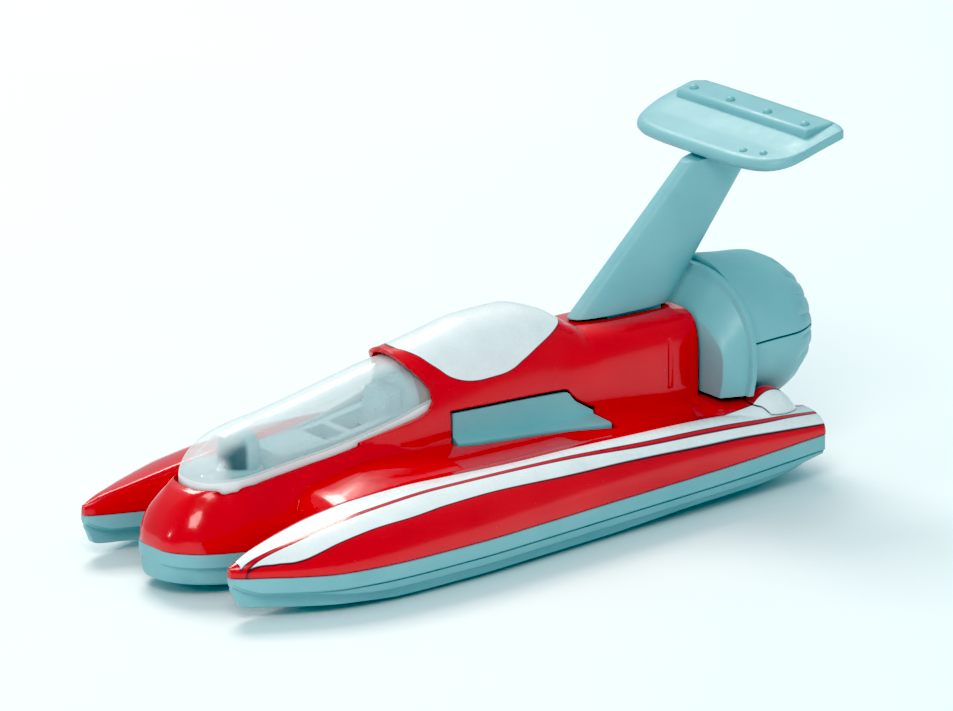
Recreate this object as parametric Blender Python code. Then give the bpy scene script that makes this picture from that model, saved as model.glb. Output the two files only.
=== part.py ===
"""Die-cast toy racing hydroplane: three hulls, a red metal body over a grey plastic base.

Lengths are in millimetres and are turned to metres when a mesh is made.
+X is the port side, the nose points to -Y, +Z is up, and the rollers stand on z = 0.
Stations along the hull are counted from the tips of the sponsons; MID_Y is the origin's station.
"""
import math

import bmesh
import bpy
from mathutils import Matrix, Vector

MM = 0.001
GAP = 0.3                # clearance between pieces that sit against each other
MID_Y = 39.25            # half way between the nose and the end of the engine
FAR = 40.0               # reach of a cutter that has to pass through everything

# The hull. Tables are (station, value).
HULL_LENGTH = 76.0
DECK_FRONT = 13.0
PARTING_Z = [(-1, 4.9), (3, 4.75), (10, 4.5), (40, 4.5), (60, 4.65), (77, 5.2)]
CREST_X = [(0, 12.6), (2, 12.2), (4, 11.7), (7, 11.3), (11, 11.1), (18, 11.4), (30, 11.8), (50, 11.2),
           (62, 10.3), (70, 9.1), (77, 8.0)]
CREST_Z = [(0, 5.7), (0.8, 6.0), (2, 6.5), (4, 7.05), (7, 7.75), (11, 8.55), (16, 9.25), (24, 9.8),
           (40, 9.8), (52, 9.5), (62, 9.0), (70, 8.1), (77, 7.0)]
OUTER_X = [(0, 12.9), (0.8, 13.5), (2.7, 14.4), (6.2, 16.0), (11.5, 17.6), (17, 18.0), (27, 17.5),
           (36, 16.4), (45, 15.2), (60, 13.5), (68, 12.6), (77, 11.6)]
INNER_X = [(0, 12.3), (0.8, 11.9), (2.7, 11.4), (6.2, 10.7), (11.5, 9.8), (17, 9.2), (77, 6.0)]
DECK_LIFT = [(13, 0), (24, 0.8), (60, 0.8), (77, 0)]

# The central body.
NOSE_Y = -0.35
BODY_HALF = [(-0.35, 1.6), (0, 2.7), (0.8, 3.7), (2, 4.7), (4.5, 5.7), (7, 6.2), (12, 6.6), (22, 6.5),
             (34, 6.1)]
BODY_TOP = [(-0.35, 5.6), (-0.15, 6.3), (0.5, 7.5), (1.3, 8.6), (2.2, 9.4), (3.2, 10.0), (5, 10.45),
            (9, 10.6), (14, 11.1), (20, 11.9), (26, 13.1), (34, 14.2)]
RIM_HALF = [(-0.35, 0.7), (0, 1.3), (0.8, 2.0), (2, 2.7), (3.2, 3.2), (4.5, 3.5), (5.6, 3.85),
            (6.5, 4.25), (8, 4.5), (10, 4.4), (14, 4.35), (18.5, 4.5), (22, 4.6), (26, 4.8), (30, 5.05),
            (34, 5.1)]
RIM_ROUND = 0.35
SPINE_START = 26.0
SPINE_TOP = [(26, 19.8), (29, 20.1), (33, 20.9), (38, 21.9), (43, 22.1), (47, 21.1), (49.5, 19.6),
             (51.2, 18.65), (64.3, 18.6)]
SPINE_HALF = [(26, 5.6), (36, 5.5), (50, 5.3), (64.3, 5.3)]
SPINE_POWER = [(26, 2.3), (47, 2.6), (53, 4.5), (65, 5)]
COVER_END = 64.3
HOOP_FRONT = [(27.2, 24), (27.8, 20.5), (28.4, 19), (29.55, 17.65), (30.35, 16.45), (30.5, 15.2),
              (30.0, 14.3), (28.8, 13.8), (26, 13.2), (20, 12.1)]
SLOT_Y, SLOT_LOW, SLOT_TOP, SLOT_R = 60.7, 11.2, 18.1, 0.32
PAD_HALF = 11.2
PAD_TOP = [(60.8, 8.6), (62.5, 9.5), (64.3, 9.8), (68.6, 9.8), (69.8, 8.8)]
HUMP_FRONT, HUMP_END, HUMP_X, HUMP_HALF, HUMP_HIGH = 65.8, 75.2, 8.9, 2.3, 3.8
RIVETS_Y = (27.0, 67.0)
RIVET_R = 1.1

# The canopy and what is under it.
CANOPY_FRONT, CANOPY_END = 4.0, 31.0
CANOPY_WALL = 0.6
CANOPY_HALF = [(4.0, 0.8), (4.15, 1.6), (4.5, 2.4), (5.2, 3.15), (6.2, 3.75), (7.5, 4.08), (8.8, 4.08),
               (10, 3.97), (12.4, 3.9), (15, 3.9), (18.5, 4.05), (22.2, 4.15), (25.8, 4.3),
               (28.1, 4.45), (31.5, 4.6)]
CANOPY_TOP = [(4.0, 11.0), (4.5, 12.1), (5.3, 13.2), (6.5, 14.2), (8.2, 15.1), (10.4, 15.7),
              (13, 16.1), (16, 16.7), (22, 18.0), (27, 19.0), (31.5, 19.4)]
RIM_Z = [(4, 10.35), (8, 10.4), (10, 10.5), (12.4, 10.7), (15, 10.95), (18.5, 11.35), (22.2, 11.85),
         (25.8, 12.55), (28.1, 13.2), (29.6, 14.1), (31, 14.9)]
TUB_FRONT, TUB_END, TUB_FLOOR = 5.9, 30.0, 8.5
TUB_HALF = [(5.9, 1.9), (6.6, 2.8), (8, 3.2), (10, 3.0), (12.4, 2.75), (18, 2.85), (25, 3.0), (30, 3.1)]
TUB_TOP = [(5.9, 9.8), (12.9, 9.8), (13.5, 12.1), (18, 12.4), (21, 12.7), (25, 13.4), (30, 14.2)]
CAPSULE_Y, CAPSULE_R, CAPSULE_TOP = 10.3, 1.9, 14.7

# The tail.
FIN_THICK = 3.4
FIN_BASE = 18.9
FIN_TOP = 37.0
FIN_FRONT = (51.6, 1.03)     # station at the base, and how far it moves back for each unit of height
FIN_REAR = (64.2, 0.76)
WING_HALF = 12.4
WING_THICK = 1.5
WING_FRONT = [(0, 67.3), (5, 67.35), (8, 67.6), (10, 68.2), (11.3, 69.2), (12.1, 70.6), (12.4, 72.0)]
WING_REAR = 77.8
WING_Z = [(66, 34.1), (70, 34.75), (73.6, 35.9), (78, 37.1)]
FLAP_FRONT, FLAP_HALF, FLAP_STEP = 73.6, 10.7, 0.75
FLAP_RIVETS_X = (-9.1, -3.0, 3.0, 9.1)
PLATE_RIVETS = ((6.6, 68.9), (9.0, 69.6))
ENGINE_Z = 14.3
ENGINE_RADIUS = [(68.3, 8.5), (70, 8.3), (72, 8.05), (75.3, 7.75), (77, 7.1), (79, 5.7)]
ENGINE_FRONT, ENGINE_END = 68.3, 79.0
NOZZLE_R, NOZZLE_FRONT = 4.6, 72.0
SEAM_Z = 15.0
COLLAR_LOW = 10.1
COLLAR = [(64.6, 9.1, 18.0), (65.6, 9.4, 19.3), (66.8, 9.8, 20.9), (67.2, 9.9, 21.4),
          (67.3, 10.45, 22.1), (68.0, 10.45, 22.3)]

# The vents on the sides of the body.
VENT_TOP = [(32, 13.6), (47.2, 13.2), (48.3, 12.1), (49.6, 11.3), (50.6, 10.7)]
VENT_OUT = [(32, 5.9), (34.4, 6.6), (42, 7.4), (50.6, 8.5)]
VENT_LOW = [(32, 9.6), (50.6, 8.9)]
VENT_WALL, VENT_INNER = 5.4, 4.6
VENT_STATIONS = (32.8, 34.2, 38.5, 43, 47.0, 47.7, 48.3, 49.0, 49.8, 50.6)

# The base and the running gear.
LEDGE = 0.15
BAND_DEEP = 1.75
FACET_DEEP = [(8.5, 0.06), (10.5, 0.8), (70, 0.8), (76, 0.3)]
STEP_IN = 0.9
SPONSON_KEEL = [(0.1, 3.4), (0.6, 2.6), (1.1, 1.6), (2.5, 1.35), (8, 0.95), (13, 0.7), (18, 0.45), (44, 0.45),
                (58, 0.9), (67, 1.1), (72, 1.6), (76, 2.8)]
CENTRE_KEEL = [(-0.35, 1.5), (3, 1.2), (10, 0.8), (66, 0.7), (74, 1.5), (77, 2.4)]
AXLES_Y = (17.0, 59.0)
AXLE_Z = 2.0
AXLE_R = 0.45
AXLE_HALF = 5.05
WHEEL_R = 2.0
WHEEL_X = 3.7
WHEEL_W = 1.7
WELL_ROOM = 0.5


def clear():
    for obj in list(bpy.data.objects):
        bpy.data.objects.remove(obj, do_unlink=True)


# Numbers

def at(table, y):
    """Smooth value at y of a table of (y, value) pairs, without overshoot."""
    if y <= table[0][0]:
        return table[0][1]
    if y >= table[-1][0]:
        return table[-1][1]
    slopes = [(b[1] - a[1]) / (b[0] - a[0]) for a, b in zip(table, table[1:])]

    def tangent(i):
        if i in (0, len(table) - 1):
            return slopes[min(i, len(slopes) - 1)]
        before, after = slopes[i - 1], slopes[i]
        return 2 * before * after / (before + after) if before * after > 0 else 0.0

    i = max(k for k in range(len(table) - 1) if table[k][0] <= y)
    (y0, v0), (y1, v1) = table[i], table[i + 1]
    h = y1 - y0
    t = (y - y0) / h
    return (v0 * (1 + 2 * t) * (1 - t) ** 2 + v1 * t * t * (3 - 2 * t)
            + h * tangent(i) * t * (1 - t) ** 2 - h * tangent(i + 1) * t * t * (1 - t))


def spread(a, b, n, ends=0.0):
    """n + 1 values from a to b, closer together at both ends as ends grows."""
    out = []
    for i in range(n + 1):
        t = i / n
        t = t * (1 - ends) + (0.5 - 0.5 * math.cos(math.pi * t)) * ends
        out.append(a + (b - a) * t)
    return out


def arch(left, crest, right, low, top, power, steps):
    """Points (x, z) of a rounded arch, from (right, low) over the crest to (left, low)."""
    points = []
    for i in range(2 * steps + 1):
        t = math.pi * i / (2 * steps)
        side = right if i <= steps else left
        across, up = abs(math.cos(t)) ** (2 / power), abs(math.sin(t)) ** (2 / power)
        points.append((crest + (side - crest) * across, low + (top - low) * up))
    return points


def both_sides(half):
    """Section from its port half, which runs up to the crown."""
    other = [(-x, z) for x, z in reversed(half) if abs(x) > 1e-6]
    return half + other


def ring(section, y):
    return [(x, y, z) for x, z in section]


# Meshes

def body_from(bm, name, smooth=True):
    """Turn a bmesh in millimetres and hull stations into an object in metres."""
    bmesh.ops.remove_doubles(bm, verts=bm.verts, dist=1e-4)
    bmesh.ops.recalc_face_normals(bm, faces=bm.faces)
    bmesh.ops.transform(bm, verts=bm.verts,
                        matrix=Matrix.Scale(MM, 4) @ Matrix.Translation((0, -MID_Y, 0)))
    mesh = bpy.data.meshes.new(name)
    bm.to_mesh(mesh)
    bm.free()
    if smooth:
        mesh.shade_smooth()
        mesh.set_sharp_from_angle(angle=math.radians(35))
    obj = bpy.data.objects.new(name, mesh)
    bpy.context.scene.collection.objects.link(obj)
    return obj


def skin(name, sections, smooth=True):
    """Closed body bridged through sections, each a ring of the same number of points."""
    bm = bmesh.new()
    loops = []
    for section in sections:
        verts = [bm.verts.new(point) for point in section]
        loops.append([bm.edges.new((verts[i - 1], verts[i])) for i in range(len(verts))])
    for near, far in zip(loops, loops[1:]):
        bmesh.ops.bridge_loops(bm, edges=near + far)
    for end in (loops[0], loops[-1]):
        bmesh.ops.contextual_create(bm, geom=end)
    return body_from(bm, name, smooth)


def pushed(name, outline, axis, low, high):
    """Outline of two coordinates, as a face extruded from low to high along an axis."""
    def place(point, along):
        return {"x": (along, *point), "y": (point[0], along, point[1]), "z": (*point, along)}[axis]

    bm = bmesh.new()
    face = bm.faces.new([bm.verts.new(place(point, low)) for point in outline])
    moved = [item for item in bmesh.ops.extrude_face_region(bm, geom=[face])["geom"]
             if isinstance(item, bmesh.types.BMVert)]
    shift = Vector(place((0, 0), high)) - Vector(place((0, 0), low))
    bmesh.ops.translate(bm, verts=moved, vec=shift)
    return body_from(bm, name, smooth=False)


def box(name, x, y, z):
    bm = bmesh.new()
    size = Matrix.Diagonal((x[1] - x[0], y[1] - y[0], z[1] - z[0], 1))
    middle = Matrix.Translation((sum(x) / 2, sum(y) / 2, sum(z) / 2))
    bmesh.ops.create_cube(bm, size=1, matrix=middle @ size)
    return body_from(bm, name, smooth=False)


def rod(name, start, end, radius, steps=24):
    start, end = Vector(start), Vector(end)
    turn = (end - start).to_track_quat("Z", "Y").to_matrix().to_4x4()
    bm = bmesh.new()
    bmesh.ops.create_cone(bm, cap_ends=True, segments=steps, radius1=radius, radius2=radius,
                          depth=(end - start).length,
                          matrix=Matrix.Translation((start + end) / 2) @ turn)
    return body_from(bm, name)


def turned(name, profile, centre, axis, steps, shape=None):
    """Profile of (along, radius) spun round an axis; it is closed, or starts and ends on the axis."""
    along = Vector(axis)
    side = Vector((1, 0, 0)) if axis[2] else Vector((0, 0, 1))
    bm = bmesh.new()
    verts = [bm.verts.new(Vector(centre) + along * a + side * r) for a, r in profile]
    edges = [bm.edges.new(pair) for pair in zip(verts, verts[1:])]
    if profile[0][1] > 0:
        edges.append(bm.edges.new((verts[-1], verts[0])))
    bmesh.ops.spin(bm, geom=verts + edges, cent=centre, axis=axis, angle=2 * math.pi, steps=steps,
                   use_merge=True)
    bmesh.ops.remove_doubles(bm, verts=bm.verts, dist=1e-4)
    if shape:
        shape(bm)
    return body_from(bm, name)


# Modifiers and places

def mirror(obj):
    """Give a shape on the port side its twin to starboard."""
    mod = obj.modifiers.new("both_sides", "MIRROR")
    mod.use_mirror_merge = False
    return obj


def boolean(obj, operation, tools):
    """Join the tools to the object, or cut them out of it."""
    group = bpy.data.collections.new(f"{obj.name}_{operation.lower()}")
    bpy.context.scene.collection.children.link(group)
    for tool in tools:
        group.objects.link(tool)
        bpy.context.scene.collection.objects.unlink(tool)
        tool.hide_render = True
        tool.display_type = "WIRE"
    mod = obj.modifiers.new(operation.lower(), "BOOLEAN")
    mod.operation = operation
    mod.solver = "EXACT"
    mod.operand_type = "COLLECTION"
    mod.collection = group
    return obj


def join(obj, *tools):
    return boolean(obj, "UNION", tools)


def cut(obj, *tools):
    return boolean(obj, "DIFFERENCE", tools)


def seat(obj, name, mat, point, parent):
    """Name and colour an object, and put its origin on a point of the hull."""
    place = Vector((point[0], point[1] - MID_Y, point[2])) * MM
    obj.name = name
    obj.data.name = name
    obj.data.materials.clear()
    obj.data.materials.append(mat)
    obj.data.transform(Matrix.Translation(-place))
    obj.parent = parent
    obj.location = place - parent.matrix_world.translation
    bpy.context.view_layer.update()
    return obj


def material(name, colour, metallic, roughness, alpha=1.0):
    mat = bpy.data.materials.new(name)
    mat.use_nodes = True
    shader = mat.node_tree.nodes["Principled BSDF"]
    shader.inputs["Base Color"].default_value = (*colour, 1)
    shader.inputs["Metallic"].default_value = metallic
    shader.inputs["Roughness"].default_value = roughness
    shader.inputs["Alpha"].default_value = alpha
    return mat


# Red metal body

def beyond_parting(name, lift, far):
    """Everything on one side of the line where the metal body meets the base."""
    line = [(y, at(PARTING_Z, y) + lift) for y in spread(-3.0, 80.0, 40)]
    return pushed(name, line + [(80.0, far), (-3.0, far)], "x", -25, 25)


def sponson_top():
    sections = []
    for y in spread(0, HULL_LENGTH, 30, 0.55):
        low, xo, xi = at(PARTING_Z, y), at(OUTER_X, y), at(INNER_X, y)
        hump = arch(xi, at(CREST_X, y), xo, low, at(CREST_Z, y), 2.3, 8)
        sections.append(ring([(xo, 3.0)] + hump + [(xi, 3.0)], y))
    return skin("sponson_top", sections)


def deck():
    sections = []
    for y in spread(DECK_FRONT, HULL_LENGTH - 0.5, 20):
        x, z = at(CREST_X, y), at(CREST_Z, y)
        lift = at(DECK_LIFT, y)
        half = [(x, 3.0), (x, z - 0.5), (x * 0.75, z + lift * 0.5), (x * 0.45, z + lift)]
        sections.append(ring(both_sides(half), y))
    return skin("deck", sections)


def nose():
    """From the tip to the hoop: the parting line up to the canopy's rim."""
    sections = []
    for y in spread(NOSE_Y, 34, 32, 0.6):
        low, top = at(PARTING_Z, y), at(BODY_TOP, y)
        foot, rim = at(BODY_HALF, y), at(RIM_HALF, y)
        soft = min(RIM_ROUND, (top - low) * 0.4)
        shoulder = top - soft * 1.2
        half = [(foot, 3.0)]
        for t in spread(0, 1, 6):
            half.append((foot + (rim - foot) * t ** 1.6, low + (shoulder - low) * t))
        half += [(rim - 0.3 * soft, top - 0.4 * soft), (rim - soft, top)]
        sections.append(ring(both_sides(half), y))
    return skin("nose", sections)


def spine():
    """The hoop behind the canopy, the spine and the engine cover."""
    sections = []
    for y in spread(SPINE_START, COVER_END, 32):
        w = at(SPINE_HALF, y)
        crown = arch(-w, 0, w, 10.5, at(SPINE_TOP, y), at(SPINE_POWER, y), 8)
        sections.append(ring([(w, 3.2)] + crown + [(-w, 3.2)], y))
    front = pushed("hoop_front", [(20, 24)] + HOOP_FRONT, "x", -8, 8)
    return cut(skin("spine", sections), front)


def pad():
    """Raised deck that the collar stands on."""
    sections = []
    for y, top in PAD_TOP:
        sections.append(ring([(PAD_HALF, 3.2)] + arch(-PAD_HALF, 0, PAD_HALF, 6, top, 4, 7)
                             + [(-PAD_HALF, 3.2)], y))
    return skin("pad", sections)


def hump():
    """Mound on the deck beside the engine."""
    sections = []
    for y in spread(HUMP_FRONT, HUMP_END, 12, 0.8):
        t = (y - HUMP_FRONT) / (HUMP_END - HUMP_FRONT)
        high = HUMP_HIGH * math.sin(math.pi * min(1, t * 1.02 + 0.02)) ** 0.7
        half = HUMP_HALF * math.sin(math.pi * min(1, t * 0.96 + 0.02)) ** 0.5
        x = HUMP_X - 0.9 * t
        sections.append(ring(arch(x - half, x, x + half, 6.6, 6.6 + high, 2, 5), y))
    return skin("hump", sections)


def canopy_sections(grow, drop, start, end):
    """Sections of the canopy, larger all round by grow, and cut off a drop below its rim."""
    sections = []
    for y in spread(start, end, 20, 0.5):
        inside = y + (grow if y < 8 else 0)
        half = max(at(CANOPY_HALF, inside) + grow, 0.3)
        base = at(RIM_Z, y)
        top = max(at(CANOPY_TOP, inside) + grow, base + 0.15)
        crown = arch(-half, 0, half, base, top, 2.2, 9)
        sections.append(ring([(half, base - drop)] + crown + [(-half, base - drop)], y))
    return sections


def engine_room():
    profile = [(y, at(ENGINE_RADIUS, min(y, 76.0)) + GAP) for y in (67.2, 69, 71, 73, 75, 90)]
    return turned("engine_room", [(67.2, 0)] + profile + [(90, 0)], (0, 0, ENGINE_Z), (0, 1, 0), 48)


def body_casting(mat, boat):
    body = nose()
    body.name = "body_casting"
    join(body, spine(), deck(), pad(), mirror(sponson_top()), mirror(hump()))
    slots = rod("slot", (5.35, SLOT_Y, SLOT_LOW), (5.35, SLOT_Y, SLOT_TOP), SLOT_R, 12)
    cut(body, beyond_parting("below", 0.0, -5.0),
        skin("canopy_seat", canopy_sections(GAP, 0.9, CANOPY_FRONT - GAP, CANOPY_END + GAP)),
        well(), engine_room(), mirror(vent_block("vent_room", GAP)), fin_foot("fin_slot", GAP),
        mirror(slots))
    # posts that the base is riveted to
    join(body, *[rod("post", (0, y, 1.1), (0, y, 7.0), RIVET_R) for y in RIVETS_Y])
    return seat(body, "body_casting", mat, (0, MID_Y, at(PARTING_Z, MID_Y)), boat)


# Grey plastic base

def sponson_bottom():
    sections = []
    for y in spread(0.15, HULL_LENGTH - 0.2, 30, 0.55):
        top = at(PARTING_Z, y) - GAP
        outer, inner = at(OUTER_X, y) + LEDGE, at(INNER_X, y) - LEDGE
        middle, w = (outer + inner) / 2, (outer - inner) / 2
        step = min(STEP_IN, w * 0.6)
        scale = min(1.0, w / 1.6)
        band = top - BAND_DEEP * (0.2 + 0.8 * scale) + GAP
        facet = at(FACET_DEEP, y)
        keel = min(at(SPONSON_KEEL, y), band - facet - 0.3)
        half = [(w, 7.0), (w, band), (w - 0.3 * scale, band - 0.05), (w - 0.3 * scale, band - 0.15),
                (w - 0.1 * scale - 0.2 * (1 - facet / 0.8) * scale, band - 0.2),
                (w - 0.35 * scale, band - 0.2 - facet), (w - step, band - 0.25 - facet), (w - step, keel)]
        section = half + [(-x, z) for x, z in reversed(half)]
        sections.append(ring([(middle + x, z) for x, z in section], y))
    return skin("sponson_bottom", sections)


def centre_bottom():
    sections = []
    for y in spread(NOSE_Y, 75.5, 32, 0.5):
        top = at(PARTING_Z, y) - GAP
        w = at(BODY_HALF, y) + LEDGE
        half = [(w, 7.2), (w, top - 1.3), (w - 0.5, top - 1.4), (w - 0.6, at(CENTRE_KEEL, y) + 0.25),
                (w - 0.85, at(CENTRE_KEEL, y))]
        sections.append(ring(half + [(-x, z) for x, z in reversed(half)], y))
    return skin("centre_bottom", sections)


def plate():
    """Floor of the tunnels between the hulls."""
    sections = []
    for y in spread(DECK_FRONT + GAP, HULL_LENGTH - 0.7, 12):
        low, x = at(PARTING_Z, y) - GAP - 1.0, at(INNER_X, y) + 1.0
        sections.append(ring([(x, low), (x, 6.8), (-x, 6.8), (-x, low)], y))
    return skin("plate", sections)


def base(mat, boat):
    body = centre_bottom()
    body.name = "base"
    join(body, plate(), mirror(sponson_bottom()))
    tools = [beyond_parting("above", -GAP, 20.0)]
    for y in AXLES_Y:
        low, high = WHEEL_X - WHEEL_W / 2 - WELL_ROOM, AXLE_HALF + GAP
        tools.append(mirror(box("wheel_well", (low, high), (y - WHEEL_R - WELL_ROOM, y + WHEEL_R + WELL_ROOM),
                                (-1, 7))))
        tools.append(rod("axle_bore", (-3, y, AXLE_Z), (3, y, AXLE_Z), AXLE_R + GAP))
    tools += [rod("rivet_hole", (0, y, -1), (0, y, 7), RIVET_R + GAP) for y in RIVETS_Y]
    cut(body, *tools)
    return seat(body, "base", mat, (0, MID_Y, at(PARTING_Z, MID_Y) - GAP), boat)


# Canopy, cockpit and vents

def canopy(mat, boat):
    """Clear shell: the outer dome less the same dome a wall thinner."""
    shell = skin("canopy", canopy_sections(0.0, 0.6, CANOPY_FRONT, CANOPY_END))
    cut(shell, skin("hollow", canopy_sections(-CANOPY_WALL, 1.2, CANOPY_FRONT + CANOPY_WALL,
                                              CANOPY_END + 1.0)))
    return seat(shell, "canopy", mat, (0, CANOPY_FRONT, at(RIM_Z, CANOPY_FRONT)), boat)


def tub_sections(grow, top=None):
    stations = [TUB_FRONT - grow, 6.6, 8, 10, 12.4, 12.9, 13.5, 18, 21, 25, TUB_END + grow]
    return [ring(both_sides([(at(TUB_HALF, y) + grow, TUB_FLOOR - grow),
                             (at(TUB_HALF, y) + grow, top or at(TUB_TOP, y))]), y) for y in stations]


def well():
    return skin("well", tub_sections(GAP, 17.0), smooth=False)


def cockpit(mat, boat):
    """Tray under the canopy, with a footwell, a seat and an upright capsule in the nose."""
    tub = skin("cockpit", tub_sections(0.0), smooth=False)
    cut(tub, box("footwell", (-1.9, 1.9), (19.4, 21.8), (10.6, 17)),
        box("seat_room", (-1.9, 1.9), (22.6, 27.2), (11.0, 17)),
        box("pit", (-2.0, 2.0), (7.2, 8.6), (9.2, 12)))
    backrest = pushed("backrest", [(26.2, 12.0), (27.2, 15.9), (28.9, 16.1), (28.9, 12.0)], "x", -1.9, 1.9)
    disc = CAPSULE_R + 0.35
    profile = [(9.0, 0), (9.0, disc), (10.8, disc), (11.0, CAPSULE_R), (12.9, CAPSULE_R), (13.7, 1.6),
               (14.3, 1.1), (CAPSULE_TOP, 0.4), (CAPSULE_TOP, 0)]
    capsule = turned("capsule", profile, (0, CAPSULE_Y, 0), (0, 0, 1), 20)
    join(tub, backrest, capsule)
    return seat(tub, "cockpit", mat, (0, TUB_FRONT, TUB_FLOOR), boat)


def vent_block(name, grow):
    """Room that the casting leaves for a vent."""
    sections = []
    for y in (32.8 - grow, 34.4, 38.5, 43, 47.2, 49, 50.6 + grow):
        top, out = at(VENT_TOP, y) + grow, at(VENT_OUT, y) + grow * 2
        low, inner = at(VENT_LOW, y) - grow, VENT_INNER - grow
        sections.append(ring([(inner, low), (out, low), (out, low + 1.4 + grow), (out - 0.4, top),
                              (inner, top)], y))
    return skin(name, sections)


def vent(name, side, mat, boat):
    """Plastic step in the side opening: an upright wall over a ledge."""
    sections = []
    for y in VENT_STATIONS:
        top, out, low = at(VENT_TOP, y), at(VENT_OUT, y), at(VENT_LOW, y)
        half = [(VENT_INNER, low), (out - 0.15, low), (out, low + 0.2), (out, low + 1.0),
                (out - 0.25, low + 1.25), (VENT_WALL + 0.25, low + 1.45),
                (VENT_WALL, low + 1.6), (VENT_WALL, top), (VENT_INNER, top)]
        sections.append(ring([(side * x, z) for x, z in half], y))
    return seat(skin(name, sections), name, mat, (side * VENT_INNER, 42.0, at(VENT_LOW, 42.0)), boat)


# Tail

def fin_foot(name, grow):
    return box(name, (-1.3 - grow, 1.3 + grow), (55.5 - grow, 62.5 + grow), (15.5 - grow, 19.6))


def tail_fin(mat, boat):
    sections = []
    for z in spread(FIN_BASE, FIN_TOP, 5):
        y0 = FIN_FRONT[0] + FIN_FRONT[1] * (z - FIN_BASE)
        y1 = FIN_REAR[0] + FIN_REAR[1] * (z - FIN_BASE)
        thick = FIN_THICK / 2 * (1 - 0.18 * (z - FIN_BASE) / (FIN_TOP - FIN_BASE))
        section = []
        for k in range(24):
            along, across = math.cos(math.pi * k / 12), math.sin(math.pi * k / 12)
            section.append((thick * math.copysign(abs(across) ** 0.75, across),
                            (y0 + y1) / 2 + (y1 - y0) / 2 * math.copysign(abs(along) ** 0.72, along), z))
        sections.append(section)
    fin = skin("tail_fin", sections)
    join(fin, fin_foot("foot", 0.0))
    under = [(y, at(WING_Z, y) - WING_THICK / 2 - GAP) for y in (60, 66, 68, 70, 72, 73.6, 76, 78, 86)]
    cut(fin, pushed("wing_room", under + [(86, 50), (60, 50)], "x", -5, 5))
    return seat(fin, "tail_fin", mat, (0, 58.0, FIN_BASE), boat)


def wing_plate():
    """Sections across the span, thin and rounded at the front and at the tips."""
    sections = []
    count = 26
    for i in range(count + 1):
        x = WING_HALF * math.sin(math.pi * (i / count - 0.5))
        y0, y1 = at(WING_FRONT, abs(x)), WING_REAR - 0.5 * (abs(x) / WING_HALF) ** 12
        tip = 1 - 0.4 * (abs(x) / WING_HALF) ** 10
        upper, lower = [], []
        for y in [y0, y0 + 0.25, y0 + 0.8] + spread(max(y0 + 1.6, 70.5), y1 - 0.3, 4) + [y1]:
            nose_part = math.sqrt(max(0.0, 1 - (1 - min(1.0, (y - y0) / 0.9)) ** 2))
            tail_part = 1.0 if y < y1 else 0.85
            half = WING_THICK / 2 * max(0.25, nose_part) * tail_part * tip
            upper.append((x, y, at(WING_Z, y) + half))
            lower.append((x, y, at(WING_Z, y) - half))
        sections.append(upper + list(reversed(lower)))
    return skin("wing", sections)


def flap():
    sections = []
    surface = WING_THICK / 2
    for x, inset in ((-FLAP_HALF, 0.35), (-FLAP_HALF + 0.4, 0), (FLAP_HALF - 0.4, 0), (FLAP_HALF, 0.35)):
        y0, y1 = FLAP_FRONT + inset, WING_REAR - inset - 0.1
        sections.append([(x, y0, at(WING_Z, y0) + 0.2),
                         (x, y0 + 0.15, at(WING_Z, y0) + surface + FLAP_STEP - 0.15 - inset),
                         (x, y0 + 0.5, at(WING_Z, y0 + 0.5) + surface + FLAP_STEP - inset),
                         (x, y1 - 0.3, at(WING_Z, y1 - 0.3) + surface + 0.12 - inset * 0.4),
                         (x, y1, at(WING_Z, y1) + surface - 0.1 - inset * 0.4),
                         (x, y1, at(WING_Z, y1) - 0.2)])
    return skin("flap", sections)


def rivet(x, y, z, radius=0.45):
    bm = bmesh.new()
    bmesh.ops.create_uvsphere(bm, u_segments=12, v_segments=6, radius=radius,
                              matrix=Matrix.Translation((x, y, z)))
    return body_from(bm, "rivet")


def wing(mat, boat):
    plate_body = wing_plate()
    surface = WING_THICK / 2
    flap_z = at(WING_Z, 74.9) + surface + FLAP_STEP - 0.1
    join(plate_body, flap())
    join(plate_body, *[rivet(x, 74.9, flap_z) for x in FLAP_RIVETS_X],
         *[rivet(x, y, at(WING_Z, y) + surface) for x, y in PLATE_RIVETS])
    return seat(plate_body, "wing", mat, (0, 72.0, at(WING_Z, 72.0)), boat)


def collar(mat, boat):
    """Flared arch between the cover and the engine, ending in a lip."""
    sections = []
    for y, w, top in COLLAR:
        crown = arch(-w, 0, w, 13.6, top, 2.3, 10)
        half = [(w - 0.55, COLLAR_LOW), (w - 0.1, 12.0)]
        sections.append(ring(half + crown + [(-x, z) for x, z in reversed(half)], y))
    return seat(skin("engine_collar", sections), "engine_collar", mat, (0, COLLAR[0][0], COLLAR_LOW), boat)


def scalloped(bm):
    """Draw the rear rim of the engine in between its blades."""
    for vert in bm.verts:
        across, up = vert.co.x, vert.co.z - ENGINE_Z
        radius = math.hypot(across, up)
        depth = 0.22 * min(1.0, max(0.0, (vert.co.y - 75.6) / 1.2))
        if depth and radius > NOZZLE_R:
            wave = 1 - abs(math.sin(math.atan2(up, across) * 10)) ** 0.6
            vert.co.x *= 1 - depth * wave / radius
            vert.co.z = ENGINE_Z + up * (1 - depth * wave / radius)


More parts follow.
